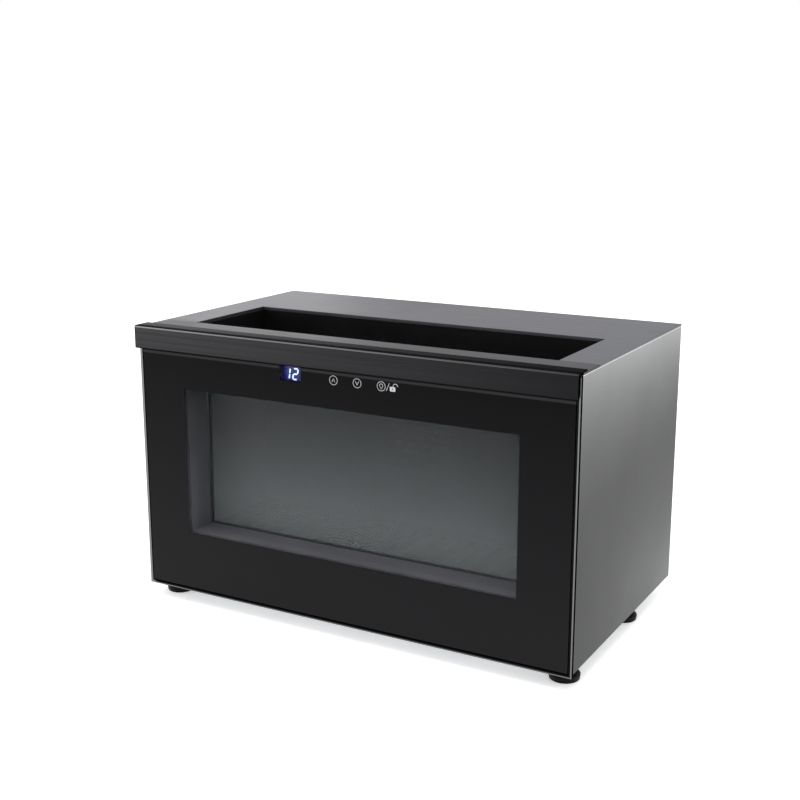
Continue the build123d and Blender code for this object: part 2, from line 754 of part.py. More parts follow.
with BuildPart() as supply_board:
    board_inset = supply_wall + supply_board_margin
    board_z = supply_z[0] + supply_board_lift
    board_face = board_z + board_thick
    span(
        (supply_x[0] + board_inset, supply_x[1] - board_inset),
        (supply_y[0] + board_inset, supply_y[1] - board_inset),
        (board_z, board_face),
    )
    # Transformer and two capacitors.
    span(
        around(supply_offset, transformer[0] / 2),
        around(y_machine, transformer[1] / 2),
        (board_face, board_face + transformer[2]),
    )
    for side in both_sides:
        x_capacitor = supply_offset + side * capacitor_offset
        with Locations((x_capacitor, y_machine, board_face + capacitor_height / 2)):
            Cylinder(capacitor_radius, capacitor_height)
save(supply_board, "supply_board")

with BuildPart() as power_inlet:
    inlet_x = around(inlet_offset, inlet_width / 2)
    inlet_z = around(z_inlet, inlet_height / 2)
    span(inlet_x, (y_rear_face - inlet_depth, y_rear_face), inlet_z)
    span(
        (inlet_x[0] - inlet_bezel, inlet_x[1] + inlet_bezel),
        (y_rear_face, y_rear_face + inlet_bezel_thick),
        (inlet_z[0] - inlet_bezel, inlet_z[1] + inlet_bezel),
    )
    fillet(power_inlet.faces().sort_by(Axis.Y)[-1].edges(), bezel_radius)
    recess_depth = inlet_depth - inlet_back_wall
    with BuildSketch(back_plane(inlet_offset, y_rear_face + inlet_bezel_thick, z_inlet)):
        Rectangle(inlet_width - 2 * inlet_wall, inlet_height - 2 * inlet_wall)
        chamfer(vertices().group_by(Axis.Z)[0], inlet_key)
    extrude(amount=-recess_depth, mode=Mode.SUBTRACT)
save(power_inlet, "power_inlet")

with BuildPart() as inlet_pins:
    pin_y = (y_rear_face + inlet_bezel_thick - recess_depth, y_rear_face - pin_setback)
    for x_pin, z_pin in ((-pin_spacing, -pin_drop), (0.0, pin_rise), (pin_spacing, -pin_drop)):
        pin_x = around(inlet_offset + x_pin, pin_half[0])
        span(pin_x, pin_y, around(z_inlet + z_pin, pin_half[1]))
save(inlet_pins, "inlet_pins")

y_pivot = y_rear_face + switch_bezel_thick - pivot_setback
with BuildPart() as switch_case:
    case_x = around(inlet_offset, switch_width / 2)
    case_z = around(z_switch, switch_height / 2)
    span(case_x, (y_rear_face - switch_depth, y_rear_face), case_z)
    span(
        (case_x[0] - switch_bezel, case_x[1] + switch_bezel),
        (y_rear_face, y_rear_face + switch_bezel_thick),
        (case_z[0] - switch_bezel, case_z[1] + switch_bezel),
    )
    fillet(switch_case.faces().sort_by(Axis.Y)[-1].edges(), bezel_radius)
    room_x = rocker_width / 2 + rocker_clearance
    room_z = rocker_radius + rocker_clearance
    room_y = (y_rear_face - switch_depth + switch_back_wall, y_rear_face + switch_bezel_thick)
    span(around(inlet_offset, room_x), room_y, around(z_switch, room_z), Mode.SUBTRACT)
    # The pivot pin crosses the room.
    with BuildSketch(Plane.YZ.offset(inlet_offset - room_x)):
        with Locations((y_pivot, z_switch)):
            Circle(pivot_radius)
    extrude(amount=2 * room_x)
save(switch_case, "switch_case")

with BuildPart() as switch_rocker:
    # Two pressing faces meet in a shallow valley over the pivot, and the ends are arcs about it.
    # The rocker lies tilted, its upper end pressed in.
    tilt = math.radians(rocker_tilt)
    rocker_plane = Plane(
        origin=(inlet_offset - rocker_width / 2, y_pivot, z_switch),
        x_dir=(0, math.cos(tilt), math.sin(tilt)),
        z_dir=(1, 0, 0),
    )
    with BuildSketch(rocker_plane):
        Circle(rocker_radius)
        with BuildLine():
            Polyline(
                (-rocker_back, -rocker_radius),
                (rocker_end, -rocker_radius),
                (rocker_valley, 0),
                (rocker_end, rocker_radius),
                (-rocker_back, rocker_radius),
                close=True,
            )
        make_face(mode=Mode.INTERSECT)
        Circle(pivot_radius + running_clearance, mode=Mode.SUBTRACT)
    extrude(amount=rocker_width)
save(switch_rocker, "switch_rocker")

# ---- Feet ----
with BuildPart() as weld_nuts:
    with BuildSketch(Plane.XY.offset(z_base + base_sheet)):
        with Locations(*feet.values()):
            RegularPolygon(nut_flats / 2, 6, major_radius=False)
            Circle(stud_radius + running_clearance, mode=Mode.SUBTRACT)
    extrude(amount=nut_height)
save(weld_nuts, "weld_nuts")

for place, (x_foot, y_foot) in feet.items():
    with BuildPart() as pad:
        with BuildSketch(Plane.XZ.offset(-y_foot)):
            with BuildLine():
                Polyline(
                    (x_foot, 0),
                    (x_foot + pad_radius - pad_heel, 0),
                    (x_foot + pad_radius, pad_rim - pad_bevel),
                    (x_foot + pad_radius, pad_rim),
                    (x_foot + pad_crown_radius, pad_height),
                    (x_foot + socket_radius + running_clearance, pad_height),
                    (x_foot + socket_radius + running_clearance, pad_height - socket_depth),
                    (x_foot, pad_height - socket_depth),
                    close=True,
                )
            make_face()
        revolve(axis=Axis((x_foot, y_foot, 0), (0, 0, 1)))
    save(pad, f"foot_pad_{place}")
    with BuildPart() as stud:
        with BuildSketch(Plane.XY.offset(pad_height - socket_depth + running_clearance)):
            with Locations((x_foot, y_foot)):
                Circle(socket_radius)
        extrude(amount=socket_depth + collar_lift)
        with BuildSketch(Plane.XY.offset(z_collar)):
            with Locations((x_foot, y_foot)):
                RegularPolygon(collar_flats / 2, 6, major_radius=False)
        extrude(amount=collar_height)
        with BuildSketch(Plane.XY.offset(z_collar + collar_height)):
            with Locations((x_foot, y_foot)):
                Circle(stud_radius)
        extrude(amount=stud_length)
        chamfer(stud.faces().sort_by(Axis.Z)[-1].edges(), stud_chamfer)
    save(stud, f"foot_stud_{place}")


# ---- Fasteners ----
rear_screw_places = [
    (side * rear_screw_x, -level) for side in both_sides for level in rear_screw_levels
]
base_screw_places = [(side * base_screw_x, -y) for side in both_sides for y in base_screw_y]
base_plane = Plane(origin=(0, 0, z_casing), x_dir=(1, 0, 0), z_dir=(0, 0, -1))
screw_groups = {
    "rear_screws": (back_plane(0, y_rear_face, 0), rear_screw_places),
    "base_screws": (base_plane, base_screw_places),
}
for name, (seat, places) in screw_groups.items():
    with BuildPart() as group:
        with BuildSketch(seat):
            with Locations(*places):
                Circle(screw_head_radius)
        extrude(amount=screw_head_height)
        outward = Axis(seat.origin, seat.z_dir)
        fillet(group.edges().filter_by(GeomType.CIRCLE).group_by(outward)[-1], screw_head_height / 2)
        with BuildSketch(seat):
            with Locations(*places):
                Circle(screw_radius)
        extrude(amount=-screw_length)
        # Cross recess.
        with BuildSketch(seat.offset(screw_head_height)):
            with Locations(*places):
                Rectangle(recess_length, recess_width)
                Rectangle(recess_width, recess_length)
        extrude(amount=-screw_recess, mode=Mode.SUBTRACT)
    save(group, name)


# ---- Leads ----
bend_share = 0.45  # of the shorter of two runs that its arc takes up


def lead(points, radius):
    """Sweep in the current part a round lead along straight runs joined by tangent arcs."""
    corners = [Vector(*point) for point in points]
    bends = []
    for before, here, after in zip(corners, corners[1:], corners[2:]):
        turn = math.radians((here - before).get_angle(after - here))
        shorter = min((here - before).length, (after - here).length)
        bends.append(bend_share * shorter / math.tan(turn / 2))
    with BuildLine() as route:
        FilletPolyline(*points, radius=bends)
    with BuildSketch(Plane(origin=route.line @ 0, z_dir=route.line % 0)) as section:
        Circle(radius)
    sweep(section.sketch, path=route.line)


z_channel = (z_foam_top + z_under_top) / 2
x_channel = (rim_x + x_side) / 2
y_behind_board = y_board + board_thick / 2
y_inlet_back = y_rear_face - inlet_depth
leads = {
    # Inlet to the supply.
    "mains_lead": (2.4, [
        (inlet_offset, y_inlet_back, z_inlet),
        (inlet_offset, y_inlet_back - 9, z_inlet),
        (inlet_offset - 14, y_inlet_back - 14, z_inlet - 12),
        (inlet_offset - 50, y_inlet_back - 10, z_foam + 4),
        (supply_x[1] + 60, y_machine, z_foam + 4),
        (supply_x[1] + 24, y_machine, z_foam + 14),
        (supply_x[1], y_machine, z_foam + 14),
    ]),
    # Display board, over the insulation, to the supply.
    "display_lead": (0.75, [
        (-display_offset, y_behind_board, z_keys + board_height / 2),
        (-display_offset, y_behind_board, z_channel),
        (-display_offset - 18, y_behind_board, z_channel),
        (-display_offset - 36, y_behind_board + 12, z_channel),
        (-x_channel + 14, y_behind_board + 13, z_channel),
        (-x_channel, y_behind_board + 28, z_channel),
        (-x_channel, y_hot_sink + 8, z_channel),
        (-x_channel + 8, y_hot_sink + 12, z_channel - 12),
        (-x_channel + 22, y_machine, z_channel - 40),
        (supply_offset, y_machine, supply_z[1] + 40),
        (supply_offset, y_machine, supply_z[1]),
    ]),
    # Supply to the outer fan.
    "fan_lead": (1.0, [
        (supply_offset + 20, y_machine, supply_z[1]),
        (supply_offset + 20, y_machine, supply_z[1] + 14),
        (supply_offset + 36, y_machine + 4, supply_z[1] + 28),
        (-outer_fan_size / 2 - 16, y_outer_fan + outer_fan_thick / 2, z_fan - 22),
        (-outer_fan_size / 2, y_outer_fan + outer_fan_thick / 2, z_fan - 22),
    ]),
}
for name, (radius, points) in leads.items():
    with BuildPart() as cable:
        lead(points, radius)
    save(cable, name)
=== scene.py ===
"""A counter-top wine cooler: its finishes, its turned, moulded and printed small pieces, and a plain studio.

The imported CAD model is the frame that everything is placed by. All lengths are metres, with X to the
right seen from the front, Y to the back and Z up from the floor.
"""

import logging
import math
from collections.abc import Callable
from dataclasses import dataclass, field
from enum import Enum

import bmesh
import bpy
import numpy as np
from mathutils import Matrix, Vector


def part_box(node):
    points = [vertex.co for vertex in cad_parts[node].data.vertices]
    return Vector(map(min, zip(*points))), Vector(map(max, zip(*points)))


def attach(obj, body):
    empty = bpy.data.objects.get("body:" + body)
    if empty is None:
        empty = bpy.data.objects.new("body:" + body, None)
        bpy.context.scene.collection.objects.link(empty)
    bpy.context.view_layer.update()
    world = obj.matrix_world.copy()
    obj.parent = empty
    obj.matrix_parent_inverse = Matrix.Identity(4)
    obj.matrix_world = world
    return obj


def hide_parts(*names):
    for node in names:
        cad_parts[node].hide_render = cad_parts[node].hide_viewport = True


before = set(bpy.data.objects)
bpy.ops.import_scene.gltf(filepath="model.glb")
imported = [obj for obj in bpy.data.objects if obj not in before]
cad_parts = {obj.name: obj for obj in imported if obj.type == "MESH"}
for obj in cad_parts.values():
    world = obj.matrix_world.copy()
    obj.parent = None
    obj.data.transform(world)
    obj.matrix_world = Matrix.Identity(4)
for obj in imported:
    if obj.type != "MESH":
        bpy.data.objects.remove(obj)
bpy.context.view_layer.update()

log = logging.getLogger("wine_cooler")

MM = 0.001
BRUSH_DEPTH = 0.012 * MM
WELD = 1e-7
SLIVER = 1e-8
Triple = tuple[float, float, float]
Colour = Triple
Array = np.ndarray


# ---------------------------------------------------------------- shader building


def math_operator(operation: str, swapped: bool = False) -> Callable[..., "Signal"]:
    """Make a method of Signal that adds a Math node.

    Args:
        operation: the Math node's operation.
        swapped: put the other value first, as a reflected form needs.

    Returns:
        The method.
    """

    def method(self: "Signal", other: "Signal | float" = 0.0) -> "Signal":
        """Join self and the other value in one Math node."""
        first, second = (other, self) if swapped else (self, other)
        return self.recipe.node("ShaderNodeMath", {"operation": operation}, {0: first, 1: second})

    return method


class Signal:
    """One socket of a node tree, which can be used in arithmetic."""

    def __init__(self, recipe: "Recipe", socket: bpy.types.NodeSocket) -> None:
        """Wrap an output socket of a recipe's tree."""
        self.recipe = recipe
        self.socket = socket

    __add__, __radd__ = math_operator("ADD"), math_operator("ADD", swapped=True)
    __sub__, __rsub__ = math_operator("SUBTRACT"), math_operator("SUBTRACT", swapped=True)
    __mul__, __rmul__ = math_operator("MULTIPLY"), math_operator("MULTIPLY", swapped=True)
    __abs__ = math_operator("ABSOLUTE")
    least, most = math_operator("MINIMUM"), math_operator("MAXIMUM")


class Recipe:
    """The node tree of one material, built up by calls."""

    def __init__(self, name: str) -> None:
        """Start an empty material.

        Args:
            name: the material's name.
        """
        self.material = bpy.data.materials.new(name)
        self.material.use_nodes = True
        self.tree = self.material.node_tree
        self.tree.nodes.clear()

    @staticmethod
    def find(sockets: bpy.types.bpy_prop_collection, key: "int | str") -> bpy.types.NodeSocket:
        """Find a socket by its number, identifier or name.

        Args:
            sockets: a node's inputs or outputs.
            key: the number, identifier or name.

        Returns:
            The socket.
        """
        if isinstance(key, int):
            return sockets[key]
        for socket in sockets:
            if socket.identifier == key:
                return socket
        return sockets[key]

    def node(
        self, kind: str, settings: dict | None = None, values: dict | None = None, output: "int | str" = 0
    ) -> Signal:
        """Add any node: its settings first, then the values or links of its sockets.

        Args:
            kind: the node's type.
            settings: its properties by name.
            values: numbers, colours or signals by socket.
            output: which output to return.

        Returns:
            The chosen output.
        """
        made = self.tree.nodes.new(kind)
        for name, value in (settings or {}).items():
            setattr(made, name, value)
        for key, value in (values or {}).items():
            socket = self.find(made.inputs, key)
            if isinstance(value, Signal):
                self.tree.links.new(value.socket, socket)
            elif isinstance(value, tuple) and len(value) == 3 and socket.type == "RGBA":
                socket.default_value = (*value, 1.0)
            else:
                socket.default_value = value
        return Signal(self, self.find(made.outputs, output))

    def place(self) -> Signal:
        """Object coordinates, in metres."""
        return self.node("ShaderNodeTexCoord", output="Object")

    def along(self, axis: str) -> Signal:
        """The object coordinate along one axis, "X", "Y" or "Z", in metres."""
        return self.node("ShaderNodeSeparateXYZ", values={0: self.place()}, output=axis)

    def stretched(self, scale: Triple) -> Signal:
        """Object coordinates multiplied by the scale, axis by axis."""
        return self.node("ShaderNodeMapping", values={"Vector": self.place(), "Scale": scale})

    def noise(self, scale: Triple, detail: float = 2.0, roughness: float = 0.5) -> Signal:
        """Noise from 0 to 1: features per metre along each axis, octaves, and each finer octave's share."""
        values = {"Vector": self.stretched(scale), "Scale": 1.0, "Detail": detail, "Roughness": roughness}
        return self.node("ShaderNodeTexNoise", values=values)

    def cells(
        self, scale: Triple, feature: str = "F1", output: str = "Distance", distance: str = "EUCLIDEAN"
    ) -> Signal:
        """Cells round scattered points, so many to the metre along each axis: their distance or colour."""
        settings = {"feature": feature, "distance": distance}
        return self.node("ShaderNodeTexVoronoi", settings, {"Vector": self.stretched(scale), "Scale": 1.0}, output)

    def fit(self, value: Signal, low: float, high: float, to_low: float = 0.0, to_high: float = 1.0) -> Signal:
        """Carry a value's range to another, held at its ends."""
        values = {"Value": value, "From Min": low, "From Max": high, "To Min": to_low, "To Max": to_high}
        return self.node("ShaderNodeMapRange", {"clamp": True}, values)

    def spread(self, noise: Signal, to_low: float, to_high: float) -> Signal:
        """Carry the range that a noise mostly keeps to, 0.3 to 0.7, to another."""
        return self.fit(noise, 0.3, 0.7, to_low, to_high)

    def brushed(self, grain: "Grain", widening: float, fine_part: float) -> Signal:
        """Brushed lines: a fine noise along the grain, made up to a whole by a wider one.

        Args:
            grain: the way of the lines.
            widening: the wide noise's features per metre over the fine one's.
            fine_part: share of the fine noise.

        Returns:
            The lines, from 0 to 1.
        """
        fine = self.noise(grain.value, 3.0, 0.65)
        wide = self.noise(tuple(step * widening for step in grain.value), 2.0)
        return fine * fine_part + wide * (1.0 - fine_part)

    def smudges(self, pitch: float) -> Signal:
        """Handling marks: soft patches, so many to the metre, mostly between 0.3 and 0.7."""
        return self.noise((pitch,) * 3, 3.0, 0.6)

    def band(self, value: Signal, low: float, high: float, soft: float = 0.15 * MM) -> Signal:
        """A band: 1 between low and high, 0 outside, with soft borders of the given width inside it."""
        return self.fit((value - low).least(high - value), 0.0, soft)

    def mix(self, share: Signal, first: "Signal | Colour", second: "Signal | Colour") -> Signal:
        """Mix two colours; the share is how much of the second."""
        values = {"Factor_Float": share, "A_Color": first, "B_Color": second}
        return self.node("ShaderNodeMix", {"data_type": "RGBA"}, values, "Result_Color")

    def dim(self, colour: "Signal | Colour", factor: Signal) -> Signal:
        """The colour multiplied by the factor."""
        return self.node("ShaderNodeVectorMath", {"operation": "SCALE"}, {0: colour, "Scale": factor})

    def relief(self, height: Signal, depth: float) -> Signal:
        """The normal of a surface raised by height, from 0 to 1, times depth, in metres."""
        return self.node("ShaderNodeBump", values={"Height": height, "Distance": depth, "Strength": 1.0})

    def finish(self, **values: "Signal | float | Colour") -> bpy.types.Material:
        """Close the tree with a Principled surface.

        Args:
            values: its sockets by name, with _ for a space.

        Returns:
            The material.
        """
        named = {key.replace("_", " "): value for key, value in values.items()}
        shader = self.node("ShaderNodeBsdfPrincipled", values=named)
        end = self.tree.nodes.new("ShaderNodeOutputMaterial")
        self.tree.links.new(shader.socket, end.inputs["Surface"])
        return self.material


# ---------------------------------------------------------------- finishes


class Grain(Enum):
    """Which way a sheet was brushed; the value holds features per metre along X, Y and Z."""

    UPRIGHT = (2600.0, 2600.0, 14.0)
    ACROSS = (14.0, 2600.0, 2600.0)


@dataclass(frozen=True)
class Finish:
    """A finish with a name; each kind builds its own material."""

    name: str

    def build(self, recipe: Recipe) -> bpy.types.Material:
        """Build the material on an empty recipe."""
        raise NotImplementedError


@dataclass(frozen=True)
class BrushedSheet(Finish):
    """Sheet brushed along X, with a slow drift of tone along it and faint handling marks."""

    left_colour: Colour
    right_colour: Colour
    left: float
    right: float
    ledge: float
    ledge_share: float = 0.35
    roughness: float = 0.34
    line: float = 0.08
    tint: Colour = (0.7, 0.7, 0.71)

    def build(self, recipe: Recipe) -> bpy.types.Material:
        """Colour runs from left to right, and the lines lighten, darken and roughen it.

        In front of the ledge's place along Y only the ledge's share of it is left.

        Args:
            recipe: an empty recipe.

        Returns:
            The material.
        """
        tone = recipe.fit(recipe.along("X"), self.left, self.right)
        lines = recipe.brushed(Grain.ACROSS, 0.18, 0.6)
        colour = recipe.mix(tone, self.left_colour, self.right_colour)
        shade = recipe.spread(lines, 1.0 - self.line, 1.0 + self.line)
        back = recipe.fit(recipe.along("Y"), self.ledge - 1.0 * MM, self.ledge + 1.0 * MM, self.ledge_share, 1.0)
        rough = recipe.spread(lines, self.roughness - 0.06, self.roughness + 0.08)
        return recipe.finish(
            Base_Color=recipe.dim(colour, shade * back),
            Metallic=1.0,
            Specular_Tint=self.tint,
            Roughness=rough + recipe.fit(recipe.smudges(9.0), 0.52, 0.7, 0.0, 0.05),
            Normal=recipe.relief(lines, BRUSH_DEPTH),
        )


@dataclass(frozen=True)
class CasingSteel(Finish):
    """Upright brushed steel whose colour climbs towards the top of the back edge as painted light."""

    # Painted light: the side runs from dull, low and to the front, to bright at the top of the back.
    dull: Colour
    bright: Colour
    front: float
    back: float
    foot: float
    head: float
    rise_weight: tuple[float, float] = (0.22, 0.79)
    fall_weight: tuple[float, float] = (0.40, 0.11)
    # Colour of the painted highlight along the upper edge.
    edge: Colour = (0.70, 0.71, 0.70)
    highlight_width: float = 1.0 * MM
    roughness: float = 0.38
    line: float = 0.075
    tint: Colour = (0.5, 0.5, 0.5)

    def build(self, recipe: Recipe) -> bpy.types.Material:
        """Painted light: tone is the fifth power of the rise plus the cube of the fall, each weighted to the back.

        A painted highlight lies along the sheet's upper edge.

        Args:
            recipe: an empty recipe.

        Returns:
            The material.
        """
        # Painted light: the tone climbs to the top of the back and lifts a little low at the back.
        rise = recipe.fit(recipe.along("Z"), self.foot, self.head)
        rear = recipe.fit(recipe.along("Y"), self.front, self.back)
        squared, fall = rise * rise, 1.0 - rise
        high_part, low_part = (rear * gain + base for gain, base in (self.rise_weight, self.fall_weight))
        tone = squared * squared * rise * high_part + fall * fall * fall * low_part
        lines = recipe.brushed(Grain.UPRIGHT, 0.12, 0.55)
        marks = recipe.smudges(11.0)
        # Painted highlight along the upper edge.
        edge_highlight = recipe.fit(recipe.along("Z"), self.head - self.highlight_width, self.head - self.highlight_width * 0.6)
        colour = recipe.mix(edge_highlight, recipe.mix(tone, self.dull, self.bright), self.edge)
        shade = recipe.spread(lines, 1.0 - self.line, 1.0 + self.line)
        rough = recipe.spread(lines, self.roughness - 0.05, self.roughness + 0.07)
        return recipe.finish(
            Base_Color=recipe.dim(colour, shade * recipe.spread(marks, 0.93, 1.07)),
            Metallic=1.0,
            Specular_Tint=self.tint,
            Roughness=rough + recipe.fit(marks, 0.52, 0.7, 0.0, 0.05),
            Normal=recipe.relief(lines, BRUSH_DEPTH),
        )


@dataclass(frozen=True)
class RolledStrip(Finish):
    """The dark brushed strip: a painted highlight along its rolled edge, a black top, a hem blackened as painted
    shade, and a paler flange; every colour falls from left to right as painted reflection.
    """

    # Face colours at the left and right ends: their fall from left to right is painted reflection.
    left: Colour
    right: Colour
    low: Vector
    high: Vector
    lap_start: float
    # Painted highlight along the rolled edge, at the left and right ends.
    wear_and_highlight: tuple[Colour, Colour] = ((0.20, 0.20, 0.20), (0.046, 0.046, 0.049))
    black: Colour = (0.010, 0.010, 0.011)
    flange: tuple[Colour, Colour] = ((0.19, 0.19, 0.194), (0.048, 0.048, 0.052))
    line: float = 0.26
    roughness: float = 0.34
    # Height of the painted shade on the hem.
    hem_height: float = 1.7 * MM
    # Height of the painted highlight under the roll.
    highlight_height: float = 1.7 * MM
    roll_over: float = 0.45 * MM
    tint: Colour = (0.2, 0.2, 0.2)

    def build(self, recipe: Recipe) -> bpy.types.Material:
        """Masks by height and depth lay the painted highlight, the hem's painted shade, the top and the flange over
        the face.

        Args:
            recipe: an empty recipe.

        Returns:
            The material.
        """
        x, y, z = (recipe.along(axis) for axis in "XYZ")
        across = recipe.fit(x, self.low.x, self.high.x)
        lines = recipe.noise(Grain.ACROSS.value, 3.0, 0.65) * 0.35 + recipe.noise((2.5, 520.0, 520.0), 3.0) * 0.65
        shade = recipe.spread(lines, 1.0 - self.line, 1.0 + self.line)
        top = self.high.z
        # Painted reflection: the face, highlight and flange colours fall from left to right.
        face = recipe.mix(across, self.left, self.right)
        rolled = recipe.mix(across, *self.wear_and_highlight)
        flange = recipe.mix(across, *self.flange)
        # Painted shade: the hem's lowest band turns black.
        hem = recipe.fit(z, self.low.z + self.hem_height - 1.0 * MM, self.low.z + self.hem_height, 1.0, 0.0)
        colour = recipe.mix(hem, face, self.black)
        # Painted highlight in a band under the roll.
        colour = recipe.mix(recipe.band(z, top - self.highlight_height, top - self.roll_over), colour, rolled)
        over = recipe.fit(z, top - self.roll_over, top - 0.3 * MM)
        laid = recipe.fit(y, self.lap_start - 0.3 * MM, self.lap_start)
        colour = recipe.mix(over, colour, recipe.mix(laid, self.black, flange))
        return recipe.finish(
            Base_Color=recipe.dim(colour, shade),
            Metallic=1.0,
            Specular_Tint=self.tint,
            Roughness=recipe.spread(lines, self.roughness - 0.06, self.roughness + 0.08),
            Normal=recipe.relief(lines, BRUSH_DEPTH),
        )


@dataclass(frozen=True)
class TrimHighlight(Finish):
    """Black trim with a painted highlight along its outer front edge, wide at the left and thin elsewhere."""

    half: float
    front: float
    foot: float
    # Colours of the painted highlight at the left, middle and right.
    left: Colour = (0.17, 0.17, 0.17)
    middle: Colour = (0.14, 0.14, 0.142)
    right: Colour = (0.15, 0.15, 0.15)
    black: Colour = (0.006, 0.006, 0.006)
    wide: float = 2.6 * MM
    narrow: float = 1.1 * MM
    corner: float = 3.0 * MM
    tint: Colour = (0.3, 0.3, 0.3)

    def build(self, recipe: Recipe) -> bpy.types.Material:
        """The painted highlight covers points nearer the outline than its width, which narrows away from the left
        side.

        Args:
            recipe: an empty recipe.

        Returns:
            The material.
        """
        x, y, z = (recipe.along(axis) for axis in "XYZ")
        side = -self.half + self.corner
        width = recipe.fit(x, side, side + self.corner, self.wide, self.narrow)
        inwards = (self.half - abs(x)).least(z - self.foot)
        face = recipe.fit(y, self.front + 0.3 * MM, self.front + 0.5 * MM, 1.0, 0.0)
        # Painted highlight along the outer front edge.
        line = recipe.fit(width - inwards, 0.0, 0.15 * MM) * face
        near = recipe.fit(x, side, side + 42.0 * MM)
        far = recipe.fit(x, self.half * 0.3, self.half)
        marks = recipe.noise(Grain.UPRIGHT.value, 2.0)
        bright = recipe.mix(far, recipe.mix(near, self.left, self.middle), self.right)
        colour = recipe.mix(line, self.black, bright)
        return recipe.finish(
            Base_Color=recipe.dim(colour, recipe.spread(marks, 0.9, 1.1)),
            Metallic=1.0,
            Specular_Tint=self.tint,
            Roughness=recipe.spread(marks, 0.28, 0.36),
            Normal=recipe.relief(marks, 0.008 * MM),
        )


@dataclass(frozen=True)
class Moulded(Finish):
    """Moulded plastic or rubber: a fine texture, a slow drift of tone and paler rubbed high spots."""

    colour: Colour
    roughness: float = 0.5
    pitch: float = 1500.0
    depth: float = 0.03 * MM
    drift: float = 0.12
    specular: float = 0.4
    coat: float = 0.0

    def build(self, recipe: Recipe) -> bpy.types.Material:
        """Small cells make the texture and its paler high spots, broad noise the drift.

        Args:
            recipe: an empty recipe.

        Returns:
            The material.
        """
        texture = recipe.cells((self.pitch,) * 3, "SMOOTH_F1")
        flow = recipe.noise((35.0,) * 3, 4.0, 0.6)
        shade = recipe.spread(flow, 1.0 - self.drift, 1.0 + self.drift)
        wear_and_highlight = recipe.fit(texture, 0.1, 0.7, 0.0, 0.3)
        paler = tuple(min(1.0, part * 1.25 + 0.004) for part in self.colour)
        colour = recipe.mix(wear_and_highlight, self.colour, paler)
        rough = recipe.spread(flow, self.roughness - 0.05, self.roughness + 0.07)
        return recipe.finish(
            Base_Color=recipe.dim(colour, shade),
            Roughness=rough,
            Specular_IOR_Level=self.specular,
            Coat_Weight=self.coat,
            Coat_Roughness=0.1,
            Normal=recipe.relief(texture, self.depth),
        )


@dataclass(frozen=True)
class Metal(Finish):
    """Plain metal with machining or plating marks."""

    colour: Colour
    roughness: float = 0.3
    grain: Triple = (300.0,) * 3
    contrast: float = 0.15

    def build(self, recipe: Recipe) -> bpy.types.Material:
        """Stretched noise marks the metal, and broad noise dulls it in patches.

        Args:
            recipe: an empty recipe.

        Returns:
            The material.
        """
        marks = recipe.noise(self.grain, 3.0, 0.6)
        dull = recipe.noise((60.0,) * 3, 3.0)
        shade = recipe.spread(marks, 1.0 - self.contrast, 1.0 + self.contrast)
        rough = recipe.spread(dull, self.roughness - 0.07, self.roughness + 0.12)
        return recipe.finish(
            Base_Color=recipe.dim(self.colour, shade),
            Metallic=1.0,
            Roughness=rough,
            Normal=recipe.relief(marks, 0.01 * MM),
        )


@dataclass(frozen=True)
class Spangle(Finish):
    """Zinc-coated sheet with crystals of different brightness."""

    pitch: float = 110.0
    dark: Colour = (0.36, 0.38, 0.40)
    light: Colour = (0.60, 0.62, 0.64)

    def build(self, recipe: Recipe) -> bpy.types.Material:
        """Each cell takes a random grey and roughness, with soft borders between.

        Args:
            recipe: an empty recipe.

        Returns:
            The material.
        """
        scatter = recipe.cells((self.pitch,) * 3, output="Color")
        crystal = recipe.node("ShaderNodeSeparateXYZ", values={0: scatter}, output="X")
        edge = recipe.cells((self.pitch,) * 3, "DISTANCE_TO_EDGE")
        return recipe.finish(
            Base_Color=recipe.mix(crystal, self.dark, self.light),
            Metallic=0.9,
            Roughness=recipe.fit(crystal, 0.0, 1.0, 0.32, 0.52),
            Normal=recipe.relief(recipe.fit(edge, 0.0, 0.15), 0.02 * MM),
        )


@dataclass(frozen=True)
class PowderCoat(Finish):
    """Black powder paint with a fine orange-peel skin and grains of a second grey."""

    colour: Colour = (0.018, 0.018, 0.019)
    grains: Colour = (0.06, 0.06, 0.062)

    def build(self, recipe: Recipe) -> bpy.types.Material:
        """Cells a millimetre across lift the skin, and finer ones speckle it.

        Args:
            recipe: an empty recipe.

        Returns:
            The material.
        """
        peel = recipe.cells((900.0,) * 3, "SMOOTH_F1")
        speck = recipe.noise((2400.0,) * 3, 1.0)
        return recipe.finish(
            Base_Color=recipe.mix(recipe.fit(speck, 0.55, 0.7, 0.0, 0.5), self.colour, self.grains),
            Roughness=recipe.spread(speck, 0.42, 0.58),
            Normal=recipe.relief(peel, 0.06 * MM),
        )


@dataclass(frozen=True)
class Foam(Finish):
    """Rigid cream insulation with open cells where it was cut."""

    fresh: Colour = (0.83, 0.77, 0.56)
    aged: Colour = (0.70, 0.58, 0.33)

    def build(self, recipe: Recipe) -> bpy.types.Material:
        """Two sizes of cell pit the surface, and broad noise yellows it.

        Args:
            recipe: an empty recipe.

        Returns:
            The material.
        """
        pits = recipe.cells((700.0,) * 3) * 0.7 + recipe.cells((2000.0,) * 3) * 0.3
        yellow = recipe.noise((30.0,) * 3, 3.0)
        colour = recipe.mix(recipe.fit(yellow, 0.35, 0.65), self.fresh, self.aged)
        return recipe.finish(
            Base_Color=recipe.dim(colour, recipe.fit(pits, 0.1, 0.7, 0.75, 1.05)),
            Roughness=recipe.fit(pits, 0.1, 0.7, 0.95, 0.8),
            Normal=recipe.relief(pits, 0.4 * MM),
        )


